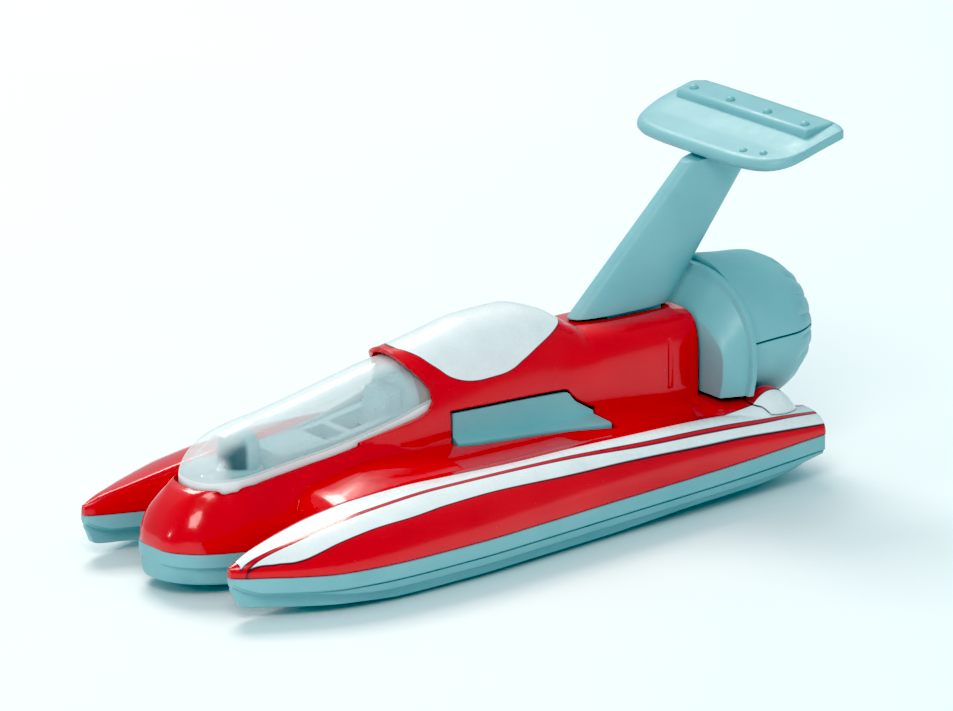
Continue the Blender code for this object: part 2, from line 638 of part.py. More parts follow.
def engine_half(name, side, mat, boat):
    """Half of the moulded engine, above or below its seam, with a round nozzle."""
    stations = [ENGINE_FRONT, 69.2, 70, 71, 72, 73, 74, 75.3, 76.2, 77, 77.7, 78.3, 78.7, ENGINE_END]
    profile = [(ENGINE_FRONT, 0)] + [(y, at(ENGINE_RADIUS, y)) for y in stations] + [(ENGINE_END, 0)]
    half = turned(name, profile, (0, 0, ENGINE_Z), (0, 1, 0), 60, scalloped)
    seam = SEAM_Z + side * GAP / 2
    other = (seam, seam - side * FAR)
    cut(half, rod("nozzle", (0, NOZZLE_FRONT, ENGINE_Z), (0, 90, ENGINE_Z), NOZZLE_R, 40),
        box("other_half", (-20, 20), (60, 90), (min(other), max(other))))
    return seat(half, name, mat, (0, ENGINE_FRONT, SEAM_Z), boat)


def exhaust_cone(mat, boat):
    wide = NOZZLE_R - GAP
    profile = [(72.3, 0), (72.3, wide), (73.2, wide), (73.6, 2.4), (75.0, 2.2), (76.8, 1.5), (78.0, 0.5),
               (78.2, 0)]
    cone = turned("exhaust_cone", profile, (0, 0, ENGINE_Z), (0, 1, 0), 32)
    return seat(cone, "exhaust_cone", mat, (0, 72.3, ENGINE_Z), boat)


# Running gear

def axle(name, y, mat, boat):
    head = 0.7
    inner = AXLE_HALF - 0.2
    profile = [(-AXLE_HALF, 0), (-AXLE_HALF, head), (-inner, head), (-inner, AXLE_R), (inner, AXLE_R),
               (inner, head), (AXLE_HALF, head), (AXLE_HALF, 0)]
    return seat(turned(name, profile, (0, y, AXLE_Z), (1, 0, 0), 20), name, mat, (0, y, AXLE_Z), boat)


def wheel(name, x, y, mat, carrier):
    half, chamfer, bore = WHEEL_W / 2, 0.2, AXLE_R + GAP
    profile = [(-half, bore), (-half, WHEEL_R - chamfer), (-half + chamfer, WHEEL_R),
               (half - chamfer, WHEEL_R), (half, WHEEL_R - chamfer), (half, bore)]
    return seat(turned(name, profile, (x, y, AXLE_Z), (1, 0, 0), 24), name, mat, (x, y, AXLE_Z), carrier)


def build():
    clear()
    boat = bpy.data.objects.new("boat", None)
    bpy.context.scene.collection.objects.link(boat)
    red = material("red_paint", (0.85, 0.01, 0.01), 0.0, 0.2)
    grey = material("grey_plastic", (0.22, 0.42, 0.45), 0.0, 0.45)
    clear_plastic = material("clear_plastic", (0.9, 0.97, 0.98), 0.0, 0.05, 0.25)
    black = material("black_plastic", (0.02, 0.03, 0.03), 0.0, 0.5)
    steel = material("steel_wire", (0.6, 0.6, 0.62), 1.0, 0.3)
    body_casting(red, boat)
    base(grey, boat)
    canopy(clear_plastic, boat)
    cockpit(grey, boat)
    vent("vent_port", 1, grey, boat)
    vent("vent_starboard", -1, grey, boat)
    tail_fin(grey, boat)
    wing(grey, boat)
    collar(grey, boat)
    engine_half("engine_upper", 1, grey, boat)
    engine_half("engine_lower", -1, grey, boat)
    exhaust_cone(grey, boat)
    for end, y in zip(("front", "rear"), AXLES_Y):
        carrier = axle(f"{end}_axle", y, steel, boat)
        wheel(f"{end}_wheel_port", WHEEL_X, y, black, carrier)
        wheel(f"{end}_wheel_starboard", -WHEEL_X, y, black, carrier)


build()
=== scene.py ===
"""Finish of a die-cast toy racing hydroplane: every piece that shows, its materials, and a light table.

Lengths are in millimetres and become metres when a mesh is made. +X is the port side, the nose
points to -Y and +Z is up. Stations along the hull are counted from the tips of the sponsons.
"""
import math

import bmesh
import bpy
from mathutils import Matrix, Vector


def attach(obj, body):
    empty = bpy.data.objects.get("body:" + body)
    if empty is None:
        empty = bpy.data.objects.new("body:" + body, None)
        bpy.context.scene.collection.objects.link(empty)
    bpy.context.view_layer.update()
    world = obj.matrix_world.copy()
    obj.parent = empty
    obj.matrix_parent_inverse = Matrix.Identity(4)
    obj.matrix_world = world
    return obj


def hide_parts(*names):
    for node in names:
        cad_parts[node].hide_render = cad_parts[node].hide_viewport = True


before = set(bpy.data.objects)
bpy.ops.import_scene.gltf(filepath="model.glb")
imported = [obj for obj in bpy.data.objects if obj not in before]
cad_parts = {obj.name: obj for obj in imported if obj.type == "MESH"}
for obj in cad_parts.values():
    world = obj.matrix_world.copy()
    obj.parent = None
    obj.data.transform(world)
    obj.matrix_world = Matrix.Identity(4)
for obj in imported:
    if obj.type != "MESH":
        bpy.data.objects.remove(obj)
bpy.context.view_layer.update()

MM = 0.001
GAP = 0.3                # clearance between the boat's pieces
SEAM = 0.06              # what shows of that clearance along the painted body's lower edge
MID_Y = 39.25            # station of the origin
FAR = 40.0               # reach of a cutter that passes through everything

# The hull. Tables are (station, value).
HULL_LENGTH = 76.0
DECK_FRONT = 13.0
DECK_LIP = 2.4           # how far the deck curls down at its front edge
PARTING_Z = [(-1, 4.9), (3, 4.75), (10, 4.5), (40, 4.5), (60, 4.65), (77, 5.2)]
CREST_X = [(0, 12.6), (2, 12.2), (4, 11.7), (7, 11.3), (11, 11.1), (18, 11.4), (30, 11.8), (50, 11.2),
           (62, 10.3), (70, 9.1), (77, 8.0)]
CREST_Z = [(0, 5.7), (0.8, 6.0), (2, 6.5), (4, 7.05), (7, 7.75), (11, 8.55), (16, 9.25), (24, 9.8),
           (40, 9.8), (52, 9.5), (62, 9.0), (70, 8.1), (77, 7.0)]
OUTER_X = [(0, 12.9), (0.8, 13.5), (2.7, 14.4), (6.2, 16.0), (11.5, 17.6), (17, 18.0), (27, 17.5),
           (36, 16.4), (45, 15.2), (60, 13.5), (68, 12.6), (77, 11.6)]
INNER_X = [(0, 12.3), (0.8, 11.9), (2.7, 11.4), (6.2, 10.7), (11.5, 9.8), (17, 9.2), (77, 6.0)]
DECK_LIFT = [(13, 0), (24, 0.8), (60, 0.8), (77, 0)]

# The central body.
NOSE_Y = -0.35
BODY_HALF = [(-0.35, 1.6), (0, 2.7), (0.8, 3.7), (2, 4.7), (4.5, 5.7), (7, 6.2), (12, 6.6), (22, 6.5),
             (34, 6.1)]
BODY_TOP = [(-0.35, 5.6), (-0.15, 6.3), (0.5, 7.5), (1.3, 8.6), (2.2, 9.4), (3.2, 10.0), (5, 10.45),
            (9, 10.6), (14, 11.1), (20, 11.9), (26, 13.1), (34, 14.2)]
RIM_HALF = [(-0.35, 0.7), (0, 1.3), (0.8, 2.0), (2, 2.7), (3.2, 3.2), (4.5, 3.5), (5.6, 3.85),
            (6.5, 4.25), (8, 4.5), (10, 4.4), (14, 4.35), (18.5, 4.5), (22, 4.6), (26, 4.8), (30, 5.05),
            (34, 5.1)]
RIM_ROUND = 0.35
SPINE_START = 20.0
SPINE_TOP = [(26, 19.8), (29, 20.1), (33, 20.9), (38, 21.9), (43, 22.1), (47, 21.1), (49.5, 19.6),
             (51.2, 18.65), (64.3, 18.6)]
SPINE_HALF = [(20, 4.2), (24, 4.85), (29, 5.5), (36, 5.5), (50, 5.3), (64.3, 5.3)]
SPINE_POWER = [(26, 2.3), (47, 2.6), (53, 4.5), (65, 5)]
COVER_END = 64.3
HOOP_FRONT = [(27.2, 24), (27.8, 20.5), (28.4, 19), (29.55, 17.65), (30.35, 16.45), (30.5, 15.2),
              (30.0, 14.3), (28.8, 13.8), (26, 13.2), (20, 12.1)]
SLOT_Y, SLOT_LOW, SLOT_TOP, SLOT_R = 60.7, 11.2, 18.1, 0.32
PAD_HALF = 11.2
PAD_TOP = [(60.8, 8.6), (62.5, 9.5), (64.3, 9.8), (68.6, 9.8), (69.8, 8.8)]
HUMP_FRONT, HUMP_END, HUMP_X, HUMP_HALF, HUMP_HIGH = 65.8, 75.2, 8.9, 2.3, 3.8
RIVETS_Y = (27.0, 67.0)
RIVET_R = 1.1

# Painted decoration on the red body: lines seen from above, then the foot of the panel seen from the side.
STRIPE_START = 0.9
STRIPE_INNER = [(0, 12.5), (2, 12.15), (4, 11.85), (7, 11.5), (11, 11.25), (14.7, 11.25), (17, 11.4),
                (22.3, 11.8), (28.5, 12.1), (34.5, 12.3), (41, 12.05), (49.2, 11.55), (60.4, 10.5),
                (66.5, 9.9), (76, 8.3)]
STRIPE_MIDDLE = [(0, 13.6), (2.4, 13.6), (6.4, 13.9), (8.8, 14.0), (13.6, 14.08), (18.7, 14.08), (26, 13.92),
                 (35.3, 13.6), (49.8, 13.1), (60, 12.3), (66.5, 11.6), (73.6, 10.5), (76, 10.1)]
STRIPE_OUTER = [(0, 13.4), (1.5, 13.75), (2.5, 14.05), (4.5, 14.94), (6.6, 15.75), (8.1, 16.05), (11, 16.25),
                (14.3, 16.31), (19, 16.4), (24.4, 16.05), (31, 15.56), (39, 15.0), (47.2, 14.21),
                (58.3, 13.23), (66.8, 12.35), (76, 11.45)]
STRIPE_GAP = 0.46        # red line between the two white stripes
OUTLINE = 0.1           # thin dark edge of the printing
PANEL_FOOT = [(26, 21.5), (28.0, 20.25), (29.4, 19.98), (30.55, 19.38), (31.7, 18.35), (32.0, 17.65),
              (32.7, 17.52), (34.1, 16.8), (36.5, 16.4), (39.9, 16.62), (42.6, 17.65), (45.7, 19.05),
              (47.5, 19.6), (49.2, 20.4), (54, 22)]

# The canopy and what is under it.
CANOPY_FRONT, CANOPY_END = 4.0, 31.0
CANOPY_WALL = 0.6
CANOPY_HALF = [(4.0, 0.8), (4.15, 1.6), (4.5, 2.4), (5.2, 3.15), (6.2, 3.75), (7.5, 4.08), (8.8, 4.08),
               (10, 3.97), (12.4, 3.9), (15, 3.9), (18.5, 4.05), (22.2, 4.15), (25.8, 4.3),
               (28.1, 4.45), (31.5, 4.6)]
CANOPY_TOP = [(4.0, 11.0), (4.5, 12.1), (5.3, 13.2), (6.5, 14.2), (8.2, 15.1), (10.4, 15.7),
              (13, 16.1), (16, 16.7), (22, 18.0), (27, 19.0), (31.5, 19.4)]
RIM_Z = [(4, 10.35), (8, 10.4), (10, 10.5), (12.4, 10.7), (15, 10.95), (18.5, 11.35), (22.2, 11.85),
         (25.8, 12.55), (28.1, 13.2), (29.6, 14.1), (31, 14.9)]
TUB_FRONT, TUB_END, TUB_FLOOR = 5.9, 30.0, 8.5
TUB_HALF = [(5.9, 1.9), (6.6, 2.8), (8, 3.2), (10, 3.0), (12.4, 2.75), (18, 2.85), (25, 3.0), (30, 3.1)]
BULKHEAD = (3.7, 18.2)     # half width and height of the tray's rear wall
TUB_TOP = [(5.9, 9.8), (12.9, 9.8), (13.5, 12.1), (18, 12.4), (21, 12.7), (25, 13.4), (30, 14.2)]
POD_Y, POD_R, POD_TOP = 10.2, 2.15, 14.9
BAND_TOP = [(4, 10.9), (5, 11.0), (9, 11.15), (14, 11.65), (20, 12.45), (26, 13.65), (31, 15.2)]

# The tail.
FIN_THICK = 3.4
FIN_BASE = 18.9
FIN_TOP = 37.0
FIN_FRONT = (51.6, 1.03)     # station at the base, and how far it moves back for each unit of height
FIN_REAR = (64.2, 0.76)
WING_HALF = 12.4
WING_THICK = 1.5
WING_FRONT = [(0, 67.3), (5, 67.35), (8, 67.6), (10, 68.2), (11.3, 69.2), (12.1, 70.6), (12.4, 72.0)]
WING_REAR = 77.8
WING_Z = [(66, 34.1), (70, 34.75), (73.6, 35.9), (78, 37.1)]
FLAP_FRONT, FLAP_HALF, FLAP_STEP = 73.6, 10.7, 0.75
FLAP_RIVETS_X, FLAP_RIVETS_Y = 9.1, 74.9
PLATE_RIVETS = ((6.6, 68.9), (9.0, 69.6))
ENGINE_Z = 14.3
ENGINE_RADIUS = [(68.3, 8.5), (70, 8.3), (72, 8.05), (75.3, 7.75), (77, 7.1), (79, 5.7)]
ENGINE_FRONT, ENGINE_END = 68.3, 79.0
NOZZLE_R, NOZZLE_FRONT = 4.6, 72.0
VANES = 16
SEAM_Z = 15.0
COLLAR_LOW = 10.1
COLLAR = [(64.6, 9.1, 18.0), (65.6, 9.4, 19.3), (66.8, 9.8, 20.9), (67.2, 9.9, 21.4),
          (67.3, 10.45, 22.1), (68.0, 10.45, 22.3)]

# The vents on the sides of the body.
VENT_TOP = [(32, 13.6), (47.2, 13.2), (48.3, 12.1), (49.6, 11.3), (50.6, 10.7)]
VENT_OUT = [(32, 5.9), (34.4, 6.6), (42, 7.4), (50.6, 8.5)]
VENT_LOW = [(32, 9.6), (50.6, 8.9)]
VENT_FRONT, VENT_END, VENT_WALL, VENT_INNER = 32.8, 50.6, 5.4, 4.6

# The base and the running gear.
LEDGE = 0.15
BAND_DEEP = 1.75
FACET_DEEP = [(7, 0.06), (16, 0.8), (70, 0.8), (76, 0.3)]
STEP_IN = 1.3
SPONSON_KEEL = [(0.1, 3.4), (0.6, 2.6), (1.1, 1.6), (2.5, 1.35), (8, 0.95), (13, 0.7), (18, 0.45), (44, 0.45),
                (58, 0.9), (67, 1.1), (72, 1.6), (76, 2.8)]
CENTRE_KEEL = [(-0.35, 1.5), (3, 1.2), (10, 0.8), (66, 0.7), (74, 1.5), (77, 2.4)]
AXLES_Y = (17.0, 59.0)
AXLE_Z = 2.0
AXLE_R = 0.45
AXLE_HALF = 5.05
WHEEL_R = 2.0
WHEEL_X = 3.7
WHEEL_W = 1.7
WELL_ROOM = 0.5

# The photographer's side: the lens, where it stands, and what it looks at.
LENS, SENSOR = 320.3, 36.0
CAMERA_AT = Vector((656.3, -494.05, 264.3)) * MM
CAMERA_TURN, CAMERA_DIP = 52.998, 16.738
FLOOR_HALF = 3.0


# Numbers

def at(table, y):
    """Smooth value at y of a table of (y, value) pairs, without overshoot."""
    if y <= table[0][0]:
        return table[0][1]
    if y >= table[-1][0]:
        return table[-1][1]
    slopes = [(b[1] - a[1]) / (b[0] - a[0]) for a, b in zip(table, table[1:])]

    def tangent(i):
        if i in (0, len(table) - 1):
            return slopes[min(i, len(slopes) - 1)]
        before, after = slopes[i - 1], slopes[i]
        return 2 * before * after / (before + after) if before * after > 0 else 0.0

    i = max(k for k in range(len(table) - 1) if table[k][0] <= y)
    (y0, v0), (y1, v1) = table[i], table[i + 1]
    h = y1 - y0
    t = (y - y0) / h
    return (v0 * (1 + 2 * t) * (1 - t) ** 2 + v1 * t * t * (3 - 2 * t)
            + h * tangent(i) * t * (1 - t) ** 2 - h * tangent(i + 1) * t * t * (1 - t))


def spread(a, b, n, ends=0.0):
    """n + 1 values from a to b, closer together at both ends as ends grows."""
    out = []
    for i in range(n + 1):
        t = i / n
        t = t * (1 - ends) + (0.5 - 0.5 * math.cos(math.pi * t)) * ends
        out.append(a + (b - a) * t)
    return out


def arch(left, crest, right, low, top, power, steps):
    """Points (x, z) of a rounded arch, from (right, low) over the crest to (left, low)."""
    points = []
    for i in range(2 * steps + 1):
        t = math.pi * i / (2 * steps)
        side = right if i <= steps else left
        across, up = abs(math.cos(t)) ** (2 / power), abs(math.sin(t)) ** (2 / power)
        points.append((crest + (side - crest) * across, low + (top - low) * up))
    return points


def both_sides(half):
    """Section from its port half, which runs up to the crown."""
    return half + [(-x, z) for x, z in reversed(half) if abs(x) > 1e-6]


def ring(section, y):
    return [(x, y, z) for x, z in section]


# Meshes

def body_from(bm, name):
    """Turn a bmesh in millimetres and hull stations into an object in metres."""
    bmesh.ops.remove_doubles(bm, verts=bm.verts, dist=1e-4)
    bmesh.ops.recalc_face_normals(bm, faces=bm.faces)
    bmesh.ops.transform(bm, verts=bm.verts,
                        matrix=Matrix.Scale(MM, 4) @ Matrix.Translation((0, -MID_Y, 0)))
    mesh = bpy.data.meshes.new(name)
    bm.to_mesh(mesh)
    bm.free()
    obj = bpy.data.objects.new(name, mesh)
    bpy.context.scene.collection.objects.link(obj)
    return obj


def skin(name, sections):
    """Closed body bridged through sections, each a ring of the same number of points."""
    bm = bmesh.new()
    loops = []
    for section in sections:
        verts = [bm.verts.new(point) for point in section]
        loops.append([bm.edges.new((verts[i - 1], verts[i])) for i in range(len(verts))])
    for near, far in zip(loops, loops[1:]):
        bmesh.ops.bridge_loops(bm, edges=near + far)
    for end in (loops[0], loops[-1]):
        bmesh.ops.contextual_create(bm, geom=end)
    return body_from(bm, name)


def pushed(name, outline, axis, low, high):
    """Outline of two coordinates, as a face extruded from low to high along an axis."""
    def place(point, along):
        return {"x": (along, *point), "y": (point[0], along, point[1]), "z": (*point, along)}[axis]

    bm = bmesh.new()
    face = bm.faces.new([bm.verts.new(place(point, low)) for point in outline])
    moved = [item for item in bmesh.ops.extrude_face_region(bm, geom=[face])["geom"]
             if isinstance(item, bmesh.types.BMVert)]
    shift = Vector(place((0, 0), high)) - Vector(place((0, 0), low))
    bmesh.ops.translate(bm, verts=moved, vec=shift)
    return body_from(bm, name)


def box(name, x, y, z, soft=0.0):
    """Block between two corners, with its edges rounded by soft."""
    bm = bmesh.new()
    size = Matrix.Diagonal((x[1] - x[0], y[1] - y[0], z[1] - z[0], 1))
    middle = Matrix.Translation((sum(x) / 2, sum(y) / 2, sum(z) / 2))
    bmesh.ops.create_cube(bm, size=1, matrix=middle @ size)
    if soft:
        bmesh.ops.bevel(bm, geom=list(bm.edges), offset=soft, segments=3, profile=0.5, affect="EDGES")
    return body_from(bm, name)


def rod(name, start, end, radius, steps=48):
    start, end = Vector(start), Vector(end)
    turn = (end - start).to_track_quat("Z", "Y").to_matrix().to_4x4()
    bm = bmesh.new()
    bmesh.ops.create_cone(bm, cap_ends=True, segments=steps, radius1=radius, radius2=radius,
                          depth=(end - start).length,
                          matrix=Matrix.Translation((start + end) / 2) @ turn)
    return body_from(bm, name)


def turned(name, profile, centre, axis, steps, shape=None):
    """Profile of (along, radius) spun round an axis; it is closed, or starts and ends on the axis."""
    along = Vector(axis)
    side = Vector((1, 0, 0)) if axis[2] else Vector((0, 0, 1))
    bm = bmesh.new()
    verts = [bm.verts.new(Vector(centre) + along * a + side * r) for a, r in profile]
    edges = [bm.edges.new(pair) for pair in zip(verts, verts[1:])]
    if profile[0][1] > 0:
        edges.append(bm.edges.new((verts[-1], verts[0])))
    bmesh.ops.spin(bm, geom=verts + edges, cent=centre, axis=axis, angle=2 * math.pi, steps=steps,
                   use_merge=True)
    bmesh.ops.remove_doubles(bm, verts=bm.verts, dist=1e-4)
    if shape:
        shape(bm)
    return body_from(bm, name)


def twin(obj):
    """Copy of a port shape to starboard."""
    other = obj.copy()
    other.data = obj.data.copy()
    other.data.transform(Matrix.Scale(-1, 4, (1, 0, 0)))
    other.data.flip_normals()
    bpy.context.scene.collection.objects.link(other)
    return other


def settled(obj):
    """Replace an object's mesh by what its modifiers make of it."""
    graph = bpy.context.evaluated_depsgraph_get()
    mesh = bpy.data.meshes.new_from_object(obj.evaluated_get(graph))
    obj.modifiers.clear()
    obj.data = mesh
    return obj


def boolean(obj, operation, tools):
    """Join closed tools to a body, or cut them out of it, one after another."""
    for tool in tools:
        mod = obj.modifiers.new(operation.lower(), "BOOLEAN")
        mod.operation = operation
        mod.solver = "MANIFOLD"
        mod.object = tool
    settled(obj)
    for tool in tools:
        bpy.data.objects.remove(tool, do_unlink=True)
    return obj


def join(obj, *tools):
    return boolean(obj, "UNION", tools)


def cut(obj, *tools):
    return boolean(obj, "DIFFERENCE", tools)


def piece(obj, name, look, body="boat", nodes=(), sharp=35):
    """Name a finished piece, give it its material and smooth faces, and hang it on its body."""
    obj.name = obj.data.name = name
    obj.data.materials.clear()
    obj.data.materials.append(look)
    obj.data.shade_smooth()
    obj.data.set_sharp_from_angle(angle=math.radians(sharp))
    if nodes:
        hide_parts(*nodes)
    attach(obj, body)
    return obj


# Red metal body

def beyond_parting(name, lift, far):
    """Everything on one side of the line where the metal body meets the base."""
    line = [(y, at(PARTING_Z, y) + lift) for y in spread(-3.0, 80.0, 90)]
    return pushed(name, line + [(80.0, far), (-3.0, far)], "x", -25, 25)


def sponson_top():
    sections = []
    for y in spread(0, HULL_LENGTH, 130, 0.55):
        low, xo, xi = at(PARTING_Z, y), at(OUTER_X, y), at(INNER_X, y)
        hump_line = arch(xi, at(CREST_X, y), xo, low, at(CREST_Z, y), 2.3, 22)
        sections.append(ring([(xo, 3.0)] + hump_line + [(xi, 3.0)], y))
    return skin("sponson_top", sections)


def deck():
    sections = []
    lip = [DECK_FRONT + ahead for ahead in (0, 0.1, 0.3, 0.6, 1.0, 1.5)]
    for y in lip + spread(DECK_FRONT + 2.2, HULL_LENGTH - 0.5, 70):
        sunk = DECK_LIP * (1 - math.sqrt(1 - (1 - min(1.0, (y - DECK_FRONT) / 2.2)) ** 2))
        x, z = at(CREST_X, y), at(CREST_Z, y) - sunk
        lift = at(DECK_LIFT, y)
        half = [(x, 3.0), (x, z - 0.5), (x * 0.75, z + lift * 0.5), (x * 0.6, z + lift * 0.85),
                (x * 0.45, z + lift)]
        sections.append(ring(both_sides(half), y))
    return skin("deck", sections)


def nose():
    """From the tip to the hoop: the parting line up to the canopy's rim."""
    sections = []
    for y in spread(NOSE_Y, 34, 120, 0.6):
        low, top = at(PARTING_Z, y), at(BODY_TOP, y)
        foot, rim = at(BODY_HALF, y), at(RIM_HALF, y)
        soft = min(RIM_ROUND, (top - low) * 0.4)
        shoulder = top - soft * 1.2
        half = [(foot, 3.0)]
        for t in spread(0, 1, 22):
            half.append((foot + (rim - foot) * t ** 1.6, low + (shoulder - low) * t))
        half += [(rim - 0.1 * soft, top - 0.75 * soft), (rim - 0.3 * soft, top - 0.4 * soft),
                 (rim - 0.6 * soft, top - 0.13 * soft), (rim - soft, top)]
        tip = at([(1.0, 1.0), (5.0, 0.0)], y)
        domed = arch(-foot, 0, foot, low, top, 2.4, len(half))[:len(half) - 1]
        half[1:] = [(x + (dome_x - x) * tip, z + (dome_z - z) * tip)
                    for (x, z), (dome_x, dome_z) in zip(half[1:], domed)]
        sections.append(ring(both_sides(half), y))
    return skin("nose", sections)


def spine():
    """The hoop behind the canopy, the spine and the engine cover."""
    sections = []
    for y in spread(SPINE_START, COVER_END, 110):
        w = at(SPINE_HALF, y)
        crown = arch(-w, 0, w, 10.5, at(SPINE_TOP, y), at(SPINE_POWER, y), 26)
        sections.append(ring([(w, 3.2)] + crown + [(-w, 3.2)], y))
    front = [(y, z) for y, z in HOOP_FRONT]
    return cut(skin("spine", sections), pushed("hoop_front", [(20, 24)] + front, "x", -8, 8))


def pad():
    """Raised deck that the collar stands on."""
    sections = []
    for y in spread(PAD_TOP[0][0], PAD_TOP[-1][0], 24):
        sections.append(ring([(PAD_HALF, 3.2)] + arch(-PAD_HALF, 0, PAD_HALF, 6, at(PAD_TOP, y), 4, 20)
                             + [(-PAD_HALF, 3.2)], y))
    return skin("pad", sections)


def hump():
    """Mound on the deck beside the engine."""
    sections = []
    for y in spread(HUMP_FRONT, HUMP_END, 40, 0.8):
        t = (y - HUMP_FRONT) / (HUMP_END - HUMP_FRONT)
        high = HUMP_HIGH * math.sin(math.pi * min(1, t * 1.02 + 0.02)) ** 0.7
        half = HUMP_HALF * math.sin(math.pi * min(1, t * 0.96 + 0.02)) ** 0.5
        x = HUMP_X - 0.9 * t
        sections.append(ring(arch(x - half, x, x + half, 6.6, 6.6 + high, 2, 16), y))
    return skin("hump", sections)


def canopy_sections(grow, drop, start, end):
    """Sections of the canopy, larger all round by grow, and cut off a drop below its rim."""
    sections = []
    for y in spread(start, end, 70, 0.5):
        inside = y + (grow if y < 8 else 0)
        half = max(at(CANOPY_HALF, inside) + grow, 0.3)
        base = at(RIM_Z, y)
        top = max(at(CANOPY_TOP, inside) + grow, base + 0.15)
        crown = arch(-half, 0, half, base, top, 2.2, 26)
        sections.append(ring([(half, base - drop)] + crown + [(-half, base - drop)], y))
    return sections


def engine_room():
    profile = [(y, at(ENGINE_RADIUS, min(y, 76.0)) + GAP) for y in (67.2, 69, 71, 73, 75, 90)]
    return turned("engine_room", [(67.2, 0)] + profile + [(90, 0)], (0, 0, ENGINE_Z), (0, 1, 0), 96)


def fin_foot(name, grow):
    return box(name, (-1.3 - grow, 1.3 + grow), (55.5 - grow, 62.5 + grow), (15.5 - grow, 19.6))


def red_body(look):
    body = nose()
    top, bump = sponson_top(), hump()
    join(body, spine(), deck(), pad(), top, twin(top), bump, twin(bump))
    slot = rod("slot", (5.35, SLOT_Y, SLOT_LOW), (5.35, SLOT_Y, SLOT_TOP), SLOT_R, 16)
    vent = vent_room()
    cut(body, beyond_parting("below", SEAM - GAP, -5.0),
        skin("canopy_seat", canopy_sections(GAP, 0.9, CANOPY_FRONT - GAP, CANOPY_END + GAP)),
        tub("well", GAP, 17.0), engine_room(), vent, twin(vent), fin_foot("fin_slot", GAP), slot, twin(slot))
    join(body, *[rod("post", (0, y, 1.1), (0, y, 7.0), RIVET_R) for y in RIVETS_Y])
    return piece(body, "red_body", look, nodes=["body_casting"])


# Grey plastic base

def sponson_bottom():
    sections = []
    for y in spread(0.15, HULL_LENGTH - 0.2, 120, 0.55):
        top = at(PARTING_Z, y) - GAP
        outer, inner = at(OUTER_X, y) + LEDGE, at(INNER_X, y) - LEDGE
        middle, w = (outer + inner) / 2, (outer - inner) / 2
        step = min(STEP_IN, w * 0.6)
        scale = min(1.0, w / 1.6)
        band = top - BAND_DEEP * (0.2 + 0.8 * scale) + GAP
        facet = at(FACET_DEEP, y)
        keel = min(at(SPONSON_KEEL, y), band - facet - 0.3)
        half = [(w, 7.0), (w, band), (w - 0.3 * scale, band - 0.05), (w - 0.3 * scale, band - 0.15),
                (w - 0.1 * scale - 0.2 * (1 - facet / 0.8) * scale, band - 0.2),
                (w - 0.35 * scale, band - 0.2 - facet), (w - step, band - 0.25 - facet), (w - step, keel)]
        section = half + [(-x, z) for x, z in reversed(half)]
        sections.append(ring([(middle + x, z) for x, z in section], y))
    return skin("sponson_bottom", sections)


def centre_bottom():
    sections = []
    for y in spread(NOSE_Y, 75.5, 110, 0.6):
        top = at(PARTING_Z, y) - GAP
        w = at(BODY_HALF, y) + LEDGE
        half = [(w, 7.2), (w, top - 1.3), (w - 0.5, top - 1.4), (w - 0.6, at(CENTRE_KEEL, y) + 0.25),
                (w - 0.85, at(CENTRE_KEEL, y))]
        sections.append(ring(half + [(-x, z) for x, z in reversed(half)], y))
    return skin("centre_bottom", sections)


def tunnel_floor():
    """Floor of the tunnels between the hulls."""
    sections = []
    for y in spread(DECK_FRONT + GAP, HULL_LENGTH - 0.7, 40):
        low, x = at(PARTING_Z, y) - GAP - 1.0, at(INNER_X, y) + 1.0
        sections.append(ring([(x, low), (x, 6.8), (-x, 6.8), (-x, low)], y))
    return skin("tunnel_floor", sections)


def grey_base(look):
    body = centre_bottom()
    bottom = sponson_bottom()
    join(body, tunnel_floor(), bottom, twin(bottom))
    tools = [beyond_parting("above", SEAM - GAP, 20.0)]
    for y in AXLES_Y:
        low, high = WHEEL_X - WHEEL_W / 2 - WELL_ROOM, AXLE_HALF + GAP
        reach = WHEEL_R + WELL_ROOM
        well = box("wheel_well", (low, high), (y - reach, y + reach), (-1, 7))
        tools += [well, twin(well), rod("axle_bore", (-3, y, AXLE_Z), (3, y, AXLE_Z), AXLE_R + GAP)]
    tools += [rod("rivet_hole", (0, y, -1), (0, y, 7), RIVET_R + GAP) for y in RIVETS_Y]
    cut(body, *tools)
    return piece(body, "grey_base", look, nodes=["base"])


# Canopy, cockpit and vents

def canopy_shell(look):
    """Clear shell: the outer dome less the same dome a wall thinner."""
    shell = skin("canopy_shell", canopy_sections(0.0, 0.6, CANOPY_FRONT, CANOPY_END))
    cut(shell, skin("hollow", canopy_sections(-CANOPY_WALL, 1.2, CANOPY_FRONT + CANOPY_WALL,
                                              CANOPY_END + 1.0)))
    return piece(shell, "canopy_shell", look, nodes=["canopy"])


def tub(name, grow, top=None):
    """Tray under the canopy, or the room for it in the metal body."""
    stations = [TUB_FRONT - grow, 6.6, 8, 10, 12.4, 12.9, 13.5, 18, 21, 25, TUB_END + grow]
    return skin(name, [ring(both_sides([(at(TUB_HALF, y) + grow, TUB_FLOOR - grow),
                                        (at(TUB_HALF, y) + grow, top or at(TUB_TOP, y))]), y)
                       for y in stations])


